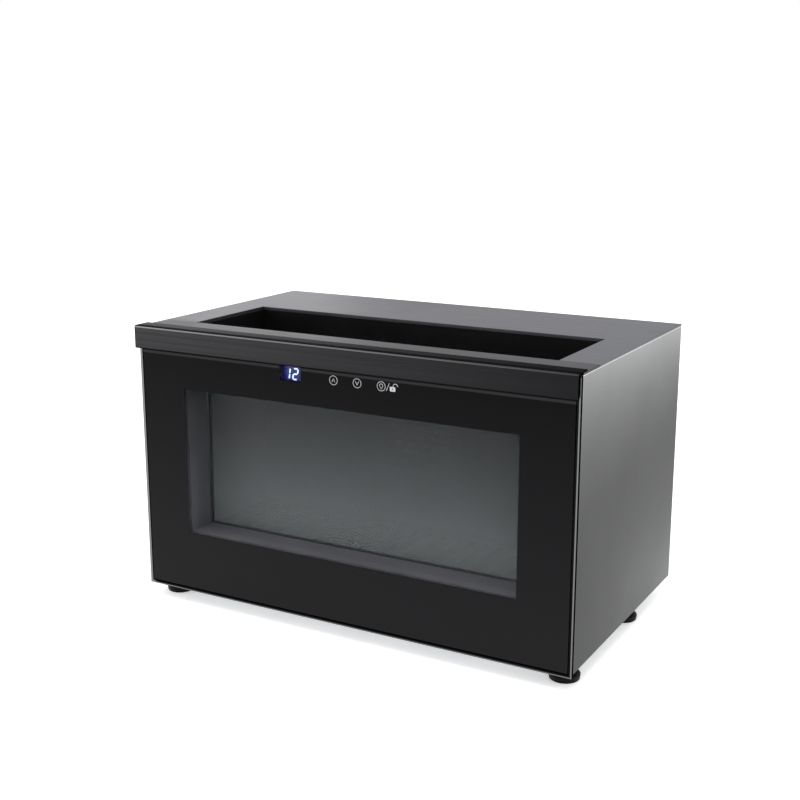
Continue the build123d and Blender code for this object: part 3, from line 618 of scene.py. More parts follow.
@dataclass(frozen=True)
class Circuit(Finish):
    """A circuit board: solder mask over copper lanes, with pads between them."""

    mask: Colour = (0.012, 0.09, 0.035)
    lane: Colour = (0.03, 0.19, 0.07)
    tin: Colour = (0.62, 0.62, 0.60)

    def build(self, recipe: Recipe) -> bpy.types.Material:
        """Squared-off cells give lanes of copper, and small cells give tinned pads.

        Args:
            recipe: an empty recipe.

        Returns:
            The material.
        """
        lanes = recipe.cells((260.0, 260.0, 140.0), distance="CHEBYCHEV")
        copper = recipe.fit(lanes, 0.3, 0.34)
        pads = recipe.fit(recipe.cells((420.0,) * 3), 0.2, 0.16)
        return recipe.finish(
            Base_Color=recipe.mix(pads, recipe.mix(copper, self.mask, self.lane), self.tin),
            Metallic=pads,
            Roughness=recipe.fit(pads, 0.0, 1.0, 0.38, 0.25),
            Normal=recipe.relief(copper, 0.04 * MM),
        )


@dataclass(frozen=True)
class PrintedGlass(Finish):
    """Glass printed black on the inside, clear over the window and smoked over the display.

    A paler band of the print runs under the top strip.
    """

    window_half: float
    window_low: float
    window_high: float
    display_low: Triple
    display_high: Triple
    front: float
    foot: float
    strip: float
    clear: float = 0.10
    smoked: float = 0.05
    print_edge: float = 0.15 * MM
    front_skin: float = 1.0 * MM
    bare_back: float = 8.0 * MM
    band_low: float = 3.9 * MM
    band_high: float = 1.5 * MM
    # The print's black lightens towards the foot: painted reflection.
    ink_low: Colour = (0.0110, 0.0110, 0.0120)
    ink_high: Colour = (0.0016, 0.0016, 0.0022)
    dust_colour: Colour = (0.014, 0.014, 0.014)
    pale_band_colour: Colour = (0.024, 0.024, 0.025)
    bare_colour: Colour = (0.010, 0.012, 0.012)

    def build(self, recipe: Recipe) -> bpy.types.Material:
        """The print's edge is how far a point lies inside a rectangle: the least of its distances to the sides.

        The back face is bare for a further width all round, so the print shows no thickness.

        Args:
            recipe: an empty recipe.

        Returns:
            The material.
        """
        x, y, z = (recipe.along(axis) for axis in "XYZ")
        skin = self.front + self.front_skin
        bare = recipe.fit(y, skin, skin + 0.2 * MM, 0.0, self.bare_back)
        window_middle = (self.window_low + self.window_high) / 2
        inside = (self.window_half - abs(x)).least((self.window_high - window_middle) - abs(z - window_middle))
        window = recipe.fit(inside + bare, 0.0, self.print_edge)
        low, high = self.display_low, self.display_high
        in_x = (high[0] - low[0]) / 2 - abs(x - (low[0] + high[0]) / 2)
        in_z = (high[2] - low[2]) / 2 - abs(z - (low[2] + high[2]) / 2)
        display = recipe.fit(in_x.least(in_z) + bare, 0.0, self.print_edge)
        smears = recipe.noise((26.0, 26.0, 9.0), 4.0, 0.6)
        dust = recipe.fit(recipe.noise((1900.0,) * 3, 1.0), 0.72, 0.8, 0.0, 0.3)
        # Painted reflection: the print lightens from the strip down to the foot.
        rise = recipe.fit(z, self.foot, self.strip)
        printed = recipe.mix(dust, recipe.mix(rise, self.ink_low, self.ink_high), self.dust_colour)
        pale_band = recipe.band(z, self.strip - self.band_low, self.strip - self.band_high, 0.4 * MM)
        printed = recipe.mix(pale_band, printed, self.pale_band_colour)
        return recipe.finish(
            Base_Color=recipe.mix(window, printed, self.bare_colour),
            Roughness=recipe.fit(smears, 0.35, 0.75, 0.10, 0.20),
            Specular_IOR_Level=0.055,
            Alpha=1.0 - (window * (1.0 - self.clear)).most(display * (1.0 - self.smoked)),
        )


@dataclass(frozen=True)
class HazyPane(Finish):
    """The tinted inner pane: a thin mist with fine beads, its colour lighter towards the lower edge."""

    low: float
    high: float
    cover_top: float = 0.50
    cover_foot: float = 0.36
    top_colour: Colour = (0.084, 0.089, 0.095)
    foot_colour: Colour = (0.380, 0.410, 0.422)
    bead_share: float = 0.02
    drift_share: float = 0.06

    def build(self, recipe: Recipe) -> bpy.types.Material:
        """The colour lightens with the square of the fall from the top, and the mist's share runs evenly with
        height.

        Broad noise and small cells, its beads, break the share up.

        Args:
            recipe: an empty recipe.

        Returns:
            The material.
        """
        rise = recipe.fit(recipe.along("Z"), self.low, self.high)
        fall = 1.0 - rise
        drift = recipe.noise((14.0, 14.0, 22.0), 4.0, 0.55)
        beads = recipe.fit(recipe.cells((900.0,) * 3), 0.0, 0.25, self.bead_share, 0.0)
        cover = recipe.fit(rise, 0.0, 1.0, self.cover_foot, self.cover_top)
        mist = cover + (drift - 0.5) * self.drift_share + beads
        return recipe.finish(
            Base_Color=recipe.mix(fall * fall, self.top_colour, self.foot_colour),
            Roughness=recipe.fit(drift, 0.2, 0.8, 0.42, 0.56),
            Specular_IOR_Level=0.12,
            Alpha=mist,
        )


@dataclass(frozen=True)
class Sleeve(Finish):
    """The moulded sleeve between the panes, paler at its lip behind the glass and finely grained."""

    lip_end: float
    back_start: float
    low: float
    high: float
    colour: Colour = (0.040, 0.040, 0.045)
    lip: Colour = (0.048, 0.048, 0.053)
    seat: Colour = (0.034, 0.034, 0.038)
    foot_gain: float = 3.0

    def build(self, recipe: Recipe) -> bpy.types.Material:
        """Tone steps along the depth: lip, wall and the dark line where the pane sits; it pales towards the foot.

        Args:
            recipe: an empty recipe.

        Returns:
            The material.
        """
        depth = recipe.along("Y")
        lip = recipe.fit(depth, self.lip_end, self.lip_end + 0.6 * MM, 1.0, 0.0)
        seat = recipe.fit(depth, self.back_start - 0.3 * MM, self.back_start)
        grain = recipe.cells((1700.0,) * 3, "SMOOTH_F1")
        flow = recipe.noise((40.0,) * 3, 3.0)
        colour = recipe.mix(seat, recipe.mix(lip, self.colour, self.lip), self.seat)
        gain = recipe.fit(recipe.along("Z"), self.low, self.high, self.foot_gain, 1.0)
        return recipe.finish(
            Base_Color=recipe.dim(colour, recipe.spread(flow, 0.9, 1.1) * gain),
            Roughness=recipe.spread(flow, 0.46, 0.58),
            Normal=recipe.relief(grain, 0.03 * MM),
        )


@dataclass(frozen=True)
class Lamp(Finish):
    """A frosted strip with soft bright spots where its small lamps stand behind it."""

    pitch: float = 30.0 * MM
    glow: float = 0.12
    colour: Colour = (0.62, 0.66, 0.70)
    dim_light: Colour = (0.30, 0.36, 0.44)
    spot_light: Colour = (0.86, 0.93, 1.0)

    def build(self, recipe: Recipe) -> bpy.types.Material:
        """Brightness is a raised cosine along X, one crest for each lamp.

        Args:
            recipe: an empty recipe.

        Returns:
            The material.
        """
        turns = recipe.along("X") * (2 * math.pi / self.pitch)
        wave = recipe.node("ShaderNodeMath", {"operation": "COSINE"}, {0: turns})
        spot = recipe.fit(wave, 0.2, 1.0, 0.1, 1.0)
        frost = recipe.noise((1800.0,) * 3, 2.0)
        return recipe.finish(
            Base_Color=recipe.dim(self.colour, recipe.spread(frost, 0.9, 1.05)),
            Roughness=recipe.spread(frost, 0.4, 0.6),
            Emission_Color=recipe.mix(spot, self.dim_light, self.spot_light),
            Emission_Strength=self.glow,
            Normal=recipe.relief(frost, 0.02 * MM),
        )


@dataclass(frozen=True)
class Lit(Finish):
    """A lit or printed mark, a little uneven: glowing bars, or pale ink whose glow, where it has one, is painted
    light.
    """

    colour: Colour
    light: Colour
    strength: float

    def build(self, recipe: Recipe) -> bpy.types.Material:
        """Noise a tenth of a millimetre across varies the ink and the light.

        Args:
            recipe: an empty recipe.

        Returns:
            The material.
        """
        uneven = recipe.noise((1500.0,) * 3, 2.0)
        share = recipe.spread(uneven, 0.85, 1.0)
        return recipe.finish(
            Base_Color=recipe.dim(self.colour, share),
            Roughness=recipe.spread(uneven, 0.3, 0.45),
            Emission_Color=recipe.dim(self.light, share),
            Emission_Strength=self.strength,
        )


@dataclass(frozen=True)
class StudioFloor(Finish):
    """A plain pale floor with a barely seen matt tooth."""

    colour: Colour = (0.93, 0.93, 0.93)
    glow: float = 0.42

    def build(self, recipe: Recipe) -> bpy.types.Material:
        """Broad noise varies the paleness by one part in a hundred.

        Args:
            recipe: an empty recipe.

        Returns:
            The material.
        """
        tooth = recipe.noise((5.0,) * 3, 3.0)
        colour = recipe.dim(self.colour, recipe.spread(tooth, 0.99, 1.0))
        return recipe.finish(
            Base_Color=colour,
            Roughness=0.9,
            Specular_IOR_Level=0.1,
            Emission_Color=colour,
            Emission_Strength=self.glow,
        )


class Paintbox:
    """Builds each finish once and puts it on pieces."""

    def __init__(self) -> None:
        """Start with nothing built."""
        self.made: dict[str, bpy.types.Material] = {}

    def dress(self, piece: bpy.types.Object, finish: Finish) -> None:
        """Put a finish on a piece.

        Args:
            piece: a new piece or a CAD node.
            finish: its finish.
        """
        if finish.name not in self.made:
            self.made[finish.name] = finish.build(Recipe(finish.name))
        material = self.made[finish.name]
        if not piece.material_slots:
            piece.data.materials.append(material)
        for place in piece.material_slots:
            place.material = material


# ---------------------------------------------------------------- mesh building


def put(name: str, data: bpy.types.ID) -> bpy.types.Object:
    """Make an object and add it to the scene.

    Args:
        name: its name.
        data: its mesh, light or camera.

    Returns:
        The object.
    """
    made = bpy.data.objects.new(name, data)
    bpy.context.scene.collection.objects.link(made)
    return made


class Shell:
    """Gathers surfaces worked out as whole arrays into one closed mesh."""

    def __init__(self) -> None:
        """Start with no points and no faces."""
        self.points: list[Array] = []
        self.faces: list[list[int]] = []
        self.count = 0

    def add(self, points: Array, faces: "Array | list") -> None:
        """Add points and the faces between them.

        Args:
            points: an array of (x, y, z) rows.
            faces: rows of point numbers.
        """
        rows = np.asarray(points, float).reshape(-1, 3)
        self.faces += [[int(corner) + self.count for corner in face] for face in faces]
        self.points.append(rows)
        self.count += len(rows)

    def grid(self, points: Array, close_rows: bool = False, close_columns: bool = False) -> None:
        """Add a surface given as a grid of points.

        Each face joins a point to the next in its row and to the two across from them in the next row.

        Args:
            points: an array rows by columns by 3.
            close_rows: join the last row to the first.
            close_columns: join the last column to the first.
        """
        rows, columns = points.shape[:2]
        row = np.arange(rows if close_rows else rows - 1)[:, None]
        column = np.arange(columns if close_columns else columns - 1)[None, :]
        next_row, next_column = (row + 1) % rows, (column + 1) % columns
        corners = [
            row * columns + column,
            row * columns + next_column,
            next_row * columns + next_column,
            next_row * columns + column,
        ]
        faces = np.stack([np.broadcast_to(corner, (row.size, column.size)) for corner in corners], -1)
        self.add(points, faces.reshape(-1, 4))

    def loops(self, points: Array) -> None:
        """Add a closed body given as rings of points, capped at its first and last ring.

        Args:
            points: an array rings by places by 3.
        """
        rings, places = points.shape[:2]
        start = self.count
        self.grid(points, close_columns=True)
        first = list(range(start, start + places))
        last = list(range(start + (rings - 1) * places, start + rings * places))
        self.faces += [first[::-1], last]

    def piece(self, name: str, body: str, slot: str, angle: float = 35.0) -> bpy.types.Object:
        """Make the gathered surfaces one piece.

        Args:
            name: the piece's name.
            body: the CAD body that it rides on.
            slot: not used.
            angle: edges sharper than this many degrees stay sharp.

        Returns:
            The object.
        """
        mesh = bpy.data.meshes.new(name)
        mesh.from_pydata(np.concatenate(self.points).tolist(), [], self.faces)
        work = bmesh.new()
        work.from_mesh(mesh)
        bmesh.ops.remove_doubles(work, verts=work.verts, dist=WELD)
        bmesh.ops.dissolve_degenerate(work, edges=work.edges, dist=SLIVER)
        bmesh.ops.recalc_face_normals(work, faces=work.faces)
        work.to_mesh(mesh)
        work.free()
        mesh.polygons.foreach_set("use_smooth", np.ones(len(mesh.polygons), bool))
        mesh.set_sharp_from_angle(angle=math.radians(angle))
        made = put(name, mesh)
        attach(made, body)
        log.info("piece %s rides on %s with %d faces", name, body, len(mesh.polygons))
        return made


@dataclass(frozen=True)
class Board:
    """A flat place to draw on: a point, two directions along it and one out of it."""

    origin: Triple
    right: Triple
    up: Triple
    out: Triple

    def lift(self, flat: Array, height: "Array | float") -> Array:
        """Carry drawn points into space.

        Point = origin + a times right + b times up + height times out.

        Args:
            flat: rows of (a, b).
            height: height over the board, one for all or one each.

        Returns:
            Rows of (x, y, z).
        """
        right, up, out = (np.array(way) for way in (self.right, self.up, self.out))
        high = np.broadcast_to(np.asarray(height, float), flat.shape[:-1])[..., None]
        return np.array(self.origin) + flat[..., :1] * right + flat[..., 1:] * up + high * out


class Pen:
    """Draws thin raised marks on a board, all in metres."""

    def __init__(self, board: Board, thick: float) -> None:
        """Start a drawing.

        Args:
            board: where it is drawn.
            thick: how far the marks stand out.
        """
        self.board = board
        self.thick = thick
        self.shell = Shell()

    def plate(self, outline: Array) -> None:
        """Fill an outline, given as rows of (a, b) that go round once."""
        rings = [self.board.lift(outline, height) for height in (0.0, self.thick)]
        self.shell.loops(np.stack(rings))

    def stroke(self, path: Array, width: float, closed: bool = False) -> None:
        """Draw a line of even width: a flat four-cornered profile carried along the path.

        Each side of the line is the path moved half a width along its normal, which is its heading
        turned by a right angle.

        Args:
            path: rows of (a, b).
            width: the line's width.
            closed: join its end to its start.
        """
        if closed:
            heading = np.roll(path, -1, 0) - np.roll(path, 1, 0)
        else:
            heading = np.gradient(path, axis=0)
        heading = heading / np.linalg.norm(heading, axis=1, keepdims=True)
        normal = np.stack([-heading[:, 1], heading[:, 0]], -1) * width / 2
        corners = [
            self.board.lift(path - normal, 0.0),
            self.board.lift(path + normal, 0.0),
            self.board.lift(path + normal, self.thick),
            self.board.lift(path - normal, self.thick),
        ]
        rings = np.stack(corners, 1)
        if closed:
            self.shell.grid(rings, close_rows=True, close_columns=True)
        else:
            self.shell.loops(rings)

    def ring(
        self, centre: tuple[float, float], radius: float, width: float, start: float = 0.0, turn: float = 360.0
    ) -> None:
        """Draw a ring or an arc: centre + radius times (cosine, sine) of an even run of angles.

        Args:
            centre: its centre.
            radius: to the middle of its line.
            width: its line's width.
            start: where it starts, in degrees from the right.
            turn: how far it goes round.
        """
        whole = abs(turn) >= 360.0
        steps = 64 if whole else 24
        angle = np.radians(start + turn * np.arange(steps) / (steps if whole else steps - 1))
        path = np.array(centre) + radius * np.stack([np.cos(angle), np.sin(angle)], -1)
        self.stroke(path, width, closed=whole)

    def line(self, start: tuple[float, float], end: tuple[float, float], width: float) -> None:
        """Draw a straight line from start to end."""
        self.stroke(np.array((start, end), float), width)

    @staticmethod
    def rounded(centre: tuple[float, float], half: tuple[float, float], power: float = 5.0) -> Array:
        """Outline of a rounded rectangle.

        It is half times the signed 2/power root of cosine and sine, a superellipse.

        Args:
            centre: its centre.
            half: half its width and height.
            power: higher is squarer.

        Returns:
            Rows of (a, b).
        """
        angle = np.linspace(0.0, 2 * math.pi, 48, endpoint=False)
        wave = np.stack([np.cos(angle), np.sin(angle)], -1)
        return np.array(centre) + np.array(half) * np.sign(wave) * np.abs(wave) ** (2 / power)


def turned(profile: Array, centre: Vector, sides: int, flutes: "Array | None" = None) -> Array:
    """Turn a profile about an upright axis.

    Point = centre + radius times (cosine, sine, 0) + height up, over an even run of angles.

    Args:
        profile: rows of (radius, height).
        centre: a point on the axis, at the heights' zero.
        sides: how many angles.
        flutes: how much the radius shrinks, rows by angles.

    Returns:
        Rings of points, one for each row.
    """
    angle = np.linspace(0.0, 2 * math.pi, sides, endpoint=False)
    radius = profile[:, :1] - (0.0 if flutes is None else flutes)
    radius = np.broadcast_to(radius, (len(profile), sides))
    height = np.broadcast_to(profile[:, 1:], radius.shape)
    rings = np.stack([radius * np.cos(angle), radius * np.sin(angle), height], -1)
    return rings + np.array(centre)


# ---------------------------------------------------------------- sub-assemblies


@dataclass
class SubAssembly:
    """Some of the cooler's pieces, dressed from one box of paints."""

    paints: Paintbox

    def dress(self, finish: Finish, *names: str) -> None:
        """Put a finish on CAD nodes.

        Args:
            finish: their finish.
            names: the nodes' names.
        """
        for name in names:
            self.paints.dress(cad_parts[name], finish)
            log.info("node %s takes %s", name, finish.name)


@dataclass
class Casing(SubAssembly):
    """The two brushed side panels, the dark top panel, the base plate and the rear panel."""

    # Painted light on the side panels: dull low and to the front, bright at the top of the back.
    side_dull: Colour = (0.090, 0.093, 0.091)
    side_bright: Colour = (0.405, 0.415, 0.408)
    top_left: Colour = (0.135, 0.133, 0.143)
    top_right: Colour = (0.143, 0.145, 0.162)

    def build(self) -> None:
        """Dress the sheets."""
        low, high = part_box("side_panel_right")
        side = CasingSteel("brushed_casing", self.side_dull, self.side_bright, low.y, high.y, low.z, high.z)
        self.dress(side, "side_panel_left", "side_panel_right")
        low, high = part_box("top_panel")
        top = BrushedSheet("dark_top", self.top_left, self.top_right, low.x, high.x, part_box("liner")[0].y)
        self.dress(top, "top_panel")
        self.dress(Spangle("galvanised_sheet"), "base_plate")
        self.dress(PowderCoat("painted_sheet"), "rear_panel")


@dataclass
class Front(SubAssembly):
    """The top strip, the trim, the printed glass and what holds them."""

    # Painted reflection: the strip's face darkens from left to right.
    strip_left: Colour = (0.039, 0.038, 0.040)
    strip_right: Colour = (0.013, 0.013, 0.014)
    reveal_wall: float = 2.0 * MM
    display_reach: tuple[float, float] = (3.2 * MM, 1.3 * MM)

    def build(self) -> None:
        """Dress the front's nodes."""
        low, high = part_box("top_strip")
        trim_low, trim_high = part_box("front_trim")
        strip = RolledStrip("dark_strip", self.strip_left, self.strip_right, low, high, trim_low.y)
        self.dress(strip, "top_strip")
        self.dress(TrimHighlight("trim_black", trim_high.x, trim_low.y, trim_low.z), "front_trim")
        glass_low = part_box("front_glass")[0]
        sleeve_low, sleeve_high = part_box("window_reveal")
        display_low, display_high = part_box("display_module")
        glass = PrintedGlass(
            "printed_glass",
            window_half=sleeve_high.x - self.reveal_wall,
            window_low=sleeve_low.z + self.reveal_wall,
            window_high=sleeve_high.z - self.reveal_wall,
            display_low=(display_low.x, 0.0, display_low.z),
            display_high=(display_high.x + self.display_reach[0], 0.0, display_high.z + self.display_reach[1]),
            front=glass_low.y,
            foot=glass_low.z,
            strip=low.z,
        )
        self.dress(glass, "front_glass")
        rubber = Moulded("black_rubber", (0.010, 0.010, 0.010), 0.7, 2200.0)
        self.dress(rubber, "front_seal", "pane_gasket")


@dataclass
class Display(SubAssembly):
    """Two slanted digits of seven bars on a dark blue ground, and the marks of the touch keys."""

    slant: float = 0.14
    digit_pitch: float = 7.15 * MM
    digit_width: float = 5.0 * MM
    digit_height: float = 9.4 * MM
    bar: float = 1.1 * MM
    gap: float = 0.16 * MM
    digit_thick: float = 0.22 * MM
    shown: tuple[str, str] = ("bc", "abged")
    mark_thick: float = 0.05 * MM
    ring_radius: float = 3.4 * MM
    ring_line: float = 0.36 * MM
    arrow: float = 1.35 * MM
    bulb_radius: float = 1.35 * MM
    bulb_lift: float = 0.45 * MM
    bulb_bars: tuple[tuple[float, float], ...] = ((0.7 * MM, 1.25 * MM), (0.5 * MM, 1.9 * MM))
    slash_place: float = 5.5 * MM
    slash_half: tuple[float, float] = (1.3 * MM, 3.0 * MM)
    lock_place: float = 9.5 * MM
    lock_half: tuple[float, float] = (2.3 * MM, 1.7 * MM)
    keyhole_half: tuple[float, float] = (0.42 * MM, 0.62 * MM)
    shackle_radius: float = 1.95 * MM
    lock_drop: float = 1.2 * MM
    shackle_place: tuple[float, float] = (2.35 * MM, 0.9 * MM)
    leg_foot: float = 0.3 * MM

    @staticmethod
    def board(y: float) -> Board:
        """The upright board at a depth, facing the front."""
        return Board((0.0, y, 0.0), (1.0, 0.0, 0.0), (0.0, 0.0, 1.0), (0.0, -1.0, 0.0))

    def bars(self, centre: tuple[float, float]) -> dict[str, Array]:
        """Outlines of a digit's seven bars.

        Each is a long six-sided bar between two corners of the digit, and the whole is slanted by
        moving every point to the right by slant times its height over the middle.

        Args:
            centre: the digit's middle.

        Returns:
            Outlines by bar letter, a to g.
        """
        half = self.bar / 2
        w, h = self.digit_width / 2 - half, self.digit_height / 2 - half
        ends = {
            "a": ((-w, h), (w, h)),
            "b": ((w, h), (w, 0.0)),
            "c": ((w, 0.0), (w, -h)),
            "d": ((-w, -h), (w, -h)),
            "e": ((-w, 0.0), (-w, -h)),
            "f": ((-w, h), (-w, 0.0)),
            "g": ((-w, 0.0), (w, 0.0)),
        }
        outlines = {}
        for letter, pair in ends.items():
            start, end = (np.array(point) for point in pair)
            along = (end - start) / np.linalg.norm(end - start)
            across = np.array([-along[1], along[0]])
            start, end = start + along * self.gap, end - along * self.gap
            near, far, side = start + along * half, end - along * half, across * half
            outline = np.array([start, near + side, far + side, end, far - side, near - side])
            outline[:, 0] += self.slant * outline[:, 1]
            outlines[letter] = outline + np.array(centre)
        return outlines

    def build_digits(self) -> None:
        """Make the lit bars and the unlit ones on the module's face."""
        low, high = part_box("display_module")
        middle = ((low.x + high.x) / 2, (low.z + high.z) / 2)
        lit, unlit = (Pen(self.board(low.y), thick) for thick in (self.digit_thick, self.digit_thick / 2))
        for number, letters in enumerate(self.shown):
            centre = (middle[0] + (number - 0.5) * self.digit_pitch, middle[1])
            for letter, outline in self.bars(centre).items():
                (lit if letter in letters else unlit).plate(outline)
        digits = lit.shell.piece("display_digits_lit", "root", "display_plastic")
        self.paints.dress(digits, Lit("digit_light", (0.4, 0.5, 0.8), (0.50, 0.66, 1.0), 1.5))
        rest = unlit.shell.piece("display_digits_unlit", "root", "display_plastic")
        self.paints.dress(rest, Lit("digit_dark", (0.004, 0.006, 0.040), (0.006, 0.010, 0.130), 0.8))

    def build_marks(self) -> None:
        """Print the key marks on the glass: two arrows, a lamp, a stroke and an open padlock."""
        pads_low, pads_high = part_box("touch_pads")
        pen = Pen(self.board(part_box("front_glass")[0].y), self.mark_thick)
        z = (pads_low.z + pads_high.z) / 2
        pad_radius = (pads_high.z - pads_low.z) / 2
        keys = np.linspace(pads_low.x + pad_radius, pads_high.x - pad_radius, 3)
        for x in keys:
            pen.ring((x, z), self.ring_radius, self.ring_line)
        for x, rise in zip(keys[:2], (self.arrow, -self.arrow)):
            for side in (-self.arrow, self.arrow):
                pen.line((x + side, z - rise), (x, z + rise), self.ring_line)
        x = keys[2]
        pen.ring((x, z + self.bulb_lift), self.bulb_radius, self.ring_line, -60.0, 300.0)
        for half, drop in self.bulb_bars:
            pen.line((x - half, z - drop), (x + half, z - drop), self.ring_line)
        across, rise = self.slash_half
        slash = x + self.slash_place
        pen.line((slash - across, z - rise), (slash + across, z + rise), self.ring_line)
        self.draw_lock(pen, x + self.lock_place, z)
        marks = pen.shell.piece("touch_key_marks", "root", "printed_glass")
        # The printed key marks glow a little: painted light.
        self.paints.dress(marks, Lit("mark_ink_painted_glow", (0.40, 0.41, 0.42), (0.5, 0.52, 0.55), 0.22))

    def draw_lock(self, pen: Pen, x: float, z: float) -> None:
        """Draw the open padlock: a body with its keyhole left open, a shackle swung aside and its short leg.

        Args:
            pen: the drawing.
            x: the body's middle.
            z: the keys' middle height.
        """
        body = (x, z - self.lock_drop)
        outer, inner = Pen.rounded(body, self.lock_half, 7.0), Pen.rounded(body, self.keyhole_half, 2.0)
        edges = ((outer, 0.0), (outer, pen.thick), (inner, pen.thick), (inner, 0.0))
        rings = np.stack([pen.board.lift(outline, height) for outline, height in edges])
        pen.shell.grid(rings, close_rows=True, close_columns=True)
        top, line = (x + self.shackle_place[0], z + self.shackle_place[1]), self.ring_line * 1.2
        pen.ring(top, self.shackle_radius, line, 0.0, 180.0)
        leg = top[0] - self.shackle_radius
        pen.line((leg, top[1]), (leg, z + self.leg_foot), line)

    def build(self) -> None:
        """Make and dress the display."""
        self.build_digits()
        self.build_marks()
        ground = Lit("display_plastic", (0.002, 0.003, 0.020), (0.003, 0.004, 0.100), 0.9)
        self.dress(ground, "display_module")
        self.dress(Circuit("circuit_board"), "display_board", "supply_board")
        self.dress(Metal("pad_spring", (0.55, 0.5, 0.42), 0.4), "touch_pads")


@dataclass
class Window(SubAssembly):
    """The sleeve between the panes, the spacer bar against the inner pane, and that pane."""

    wall: float = 2.0 * MM
    bar_depth: float = 3.2 * MM
    bar_height: float = 1.1 * MM
    lip: float = 5.0 * MM

    def build_spacer(self) -> None:
        """Make the spacer: a bar with a rounded nose, carried round the window with square corners.

        Each corner of the path is a point where the profile's inward step goes along both sides at
        once, so the mitres close.
        """
        low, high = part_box("window_reveal")
        half_x, half_z = high.x - self.wall, (high.z - low.z) / 2 - self.wall
        middle = (high.z + low.z) / 2
        step = np.linspace(0.0, math.pi, 7)
        nose = np.stack([self.bar_height * np.sin(step), -self.bar_depth / 2 * (1 + np.cos(step))], -1)
        corners = np.array([(-1.0, -1.0), (1.0, -1.0), (1.0, 1.0), (-1.0, 1.0)])
        inward, depth = nose[:, 0][None, :], nose[:, 1][None, :]
        x = corners[:, :1] * (half_x - inward)
        z = middle + corners[:, 1:] * (half_z - inward)
        y = high.y + np.broadcast_to(depth, x.shape)
        shell = Shell()
        shell.grid(np.stack([x, y, z], -1), close_rows=True, close_columns=True)
        spacer = shell.piece("pane_spacer", "root", "reveal_plastic", 50.0)
        self.paints.dress(spacer, Metal("spacer_bar", (0.055, 0.056, 0.060), 0.45, (900.0,) * 3, 0.2))

    def build(self) -> None:
        """Make and dress the window."""
        self.build_spacer()
        low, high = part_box("window_reveal")
        sleeve = Sleeve("reveal_plastic", low.y + self.lip, high.y - self.bar_depth, low.z, high.z)
        self.dress(sleeve, "window_reveal", "front_carrier")
        low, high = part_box("inner_pane")
        self.dress(HazyPane("tinted_glass", low.z, high.z), "inner_pane")


@dataclass
class Bay(SubAssembly):
    """The bottle bay: liner, slotted rest, duct cover, lamp and sensor."""

    def build(self) -> None:
        """Dress the bay's nodes."""
        liner = Moulded("liner_plastic", (0.0035, 0.0035, 0.0038), 0.45, 1100.0, 0.05 * MM, specular=0.08)
        self.dress(liner, "liner", "duct_cover")
        rest = Moulded("rest_plastic", (0.0035, 0.0035, 0.004), 0.5, 1300.0, specular=0.06)
        self.dress(rest, "bottle_rest")
        self.dress(Lamp("lamp_diffuser"), "lamp_cover")
        self.dress(Circuit("lamp_board", (0.75, 0.76, 0.78), (0.66, 0.67, 0.68)), "lamp_board")
        self.dress(Moulded("sensor_plastic", (0.05, 0.05, 0.05), 0.4), "temperature_sensor")


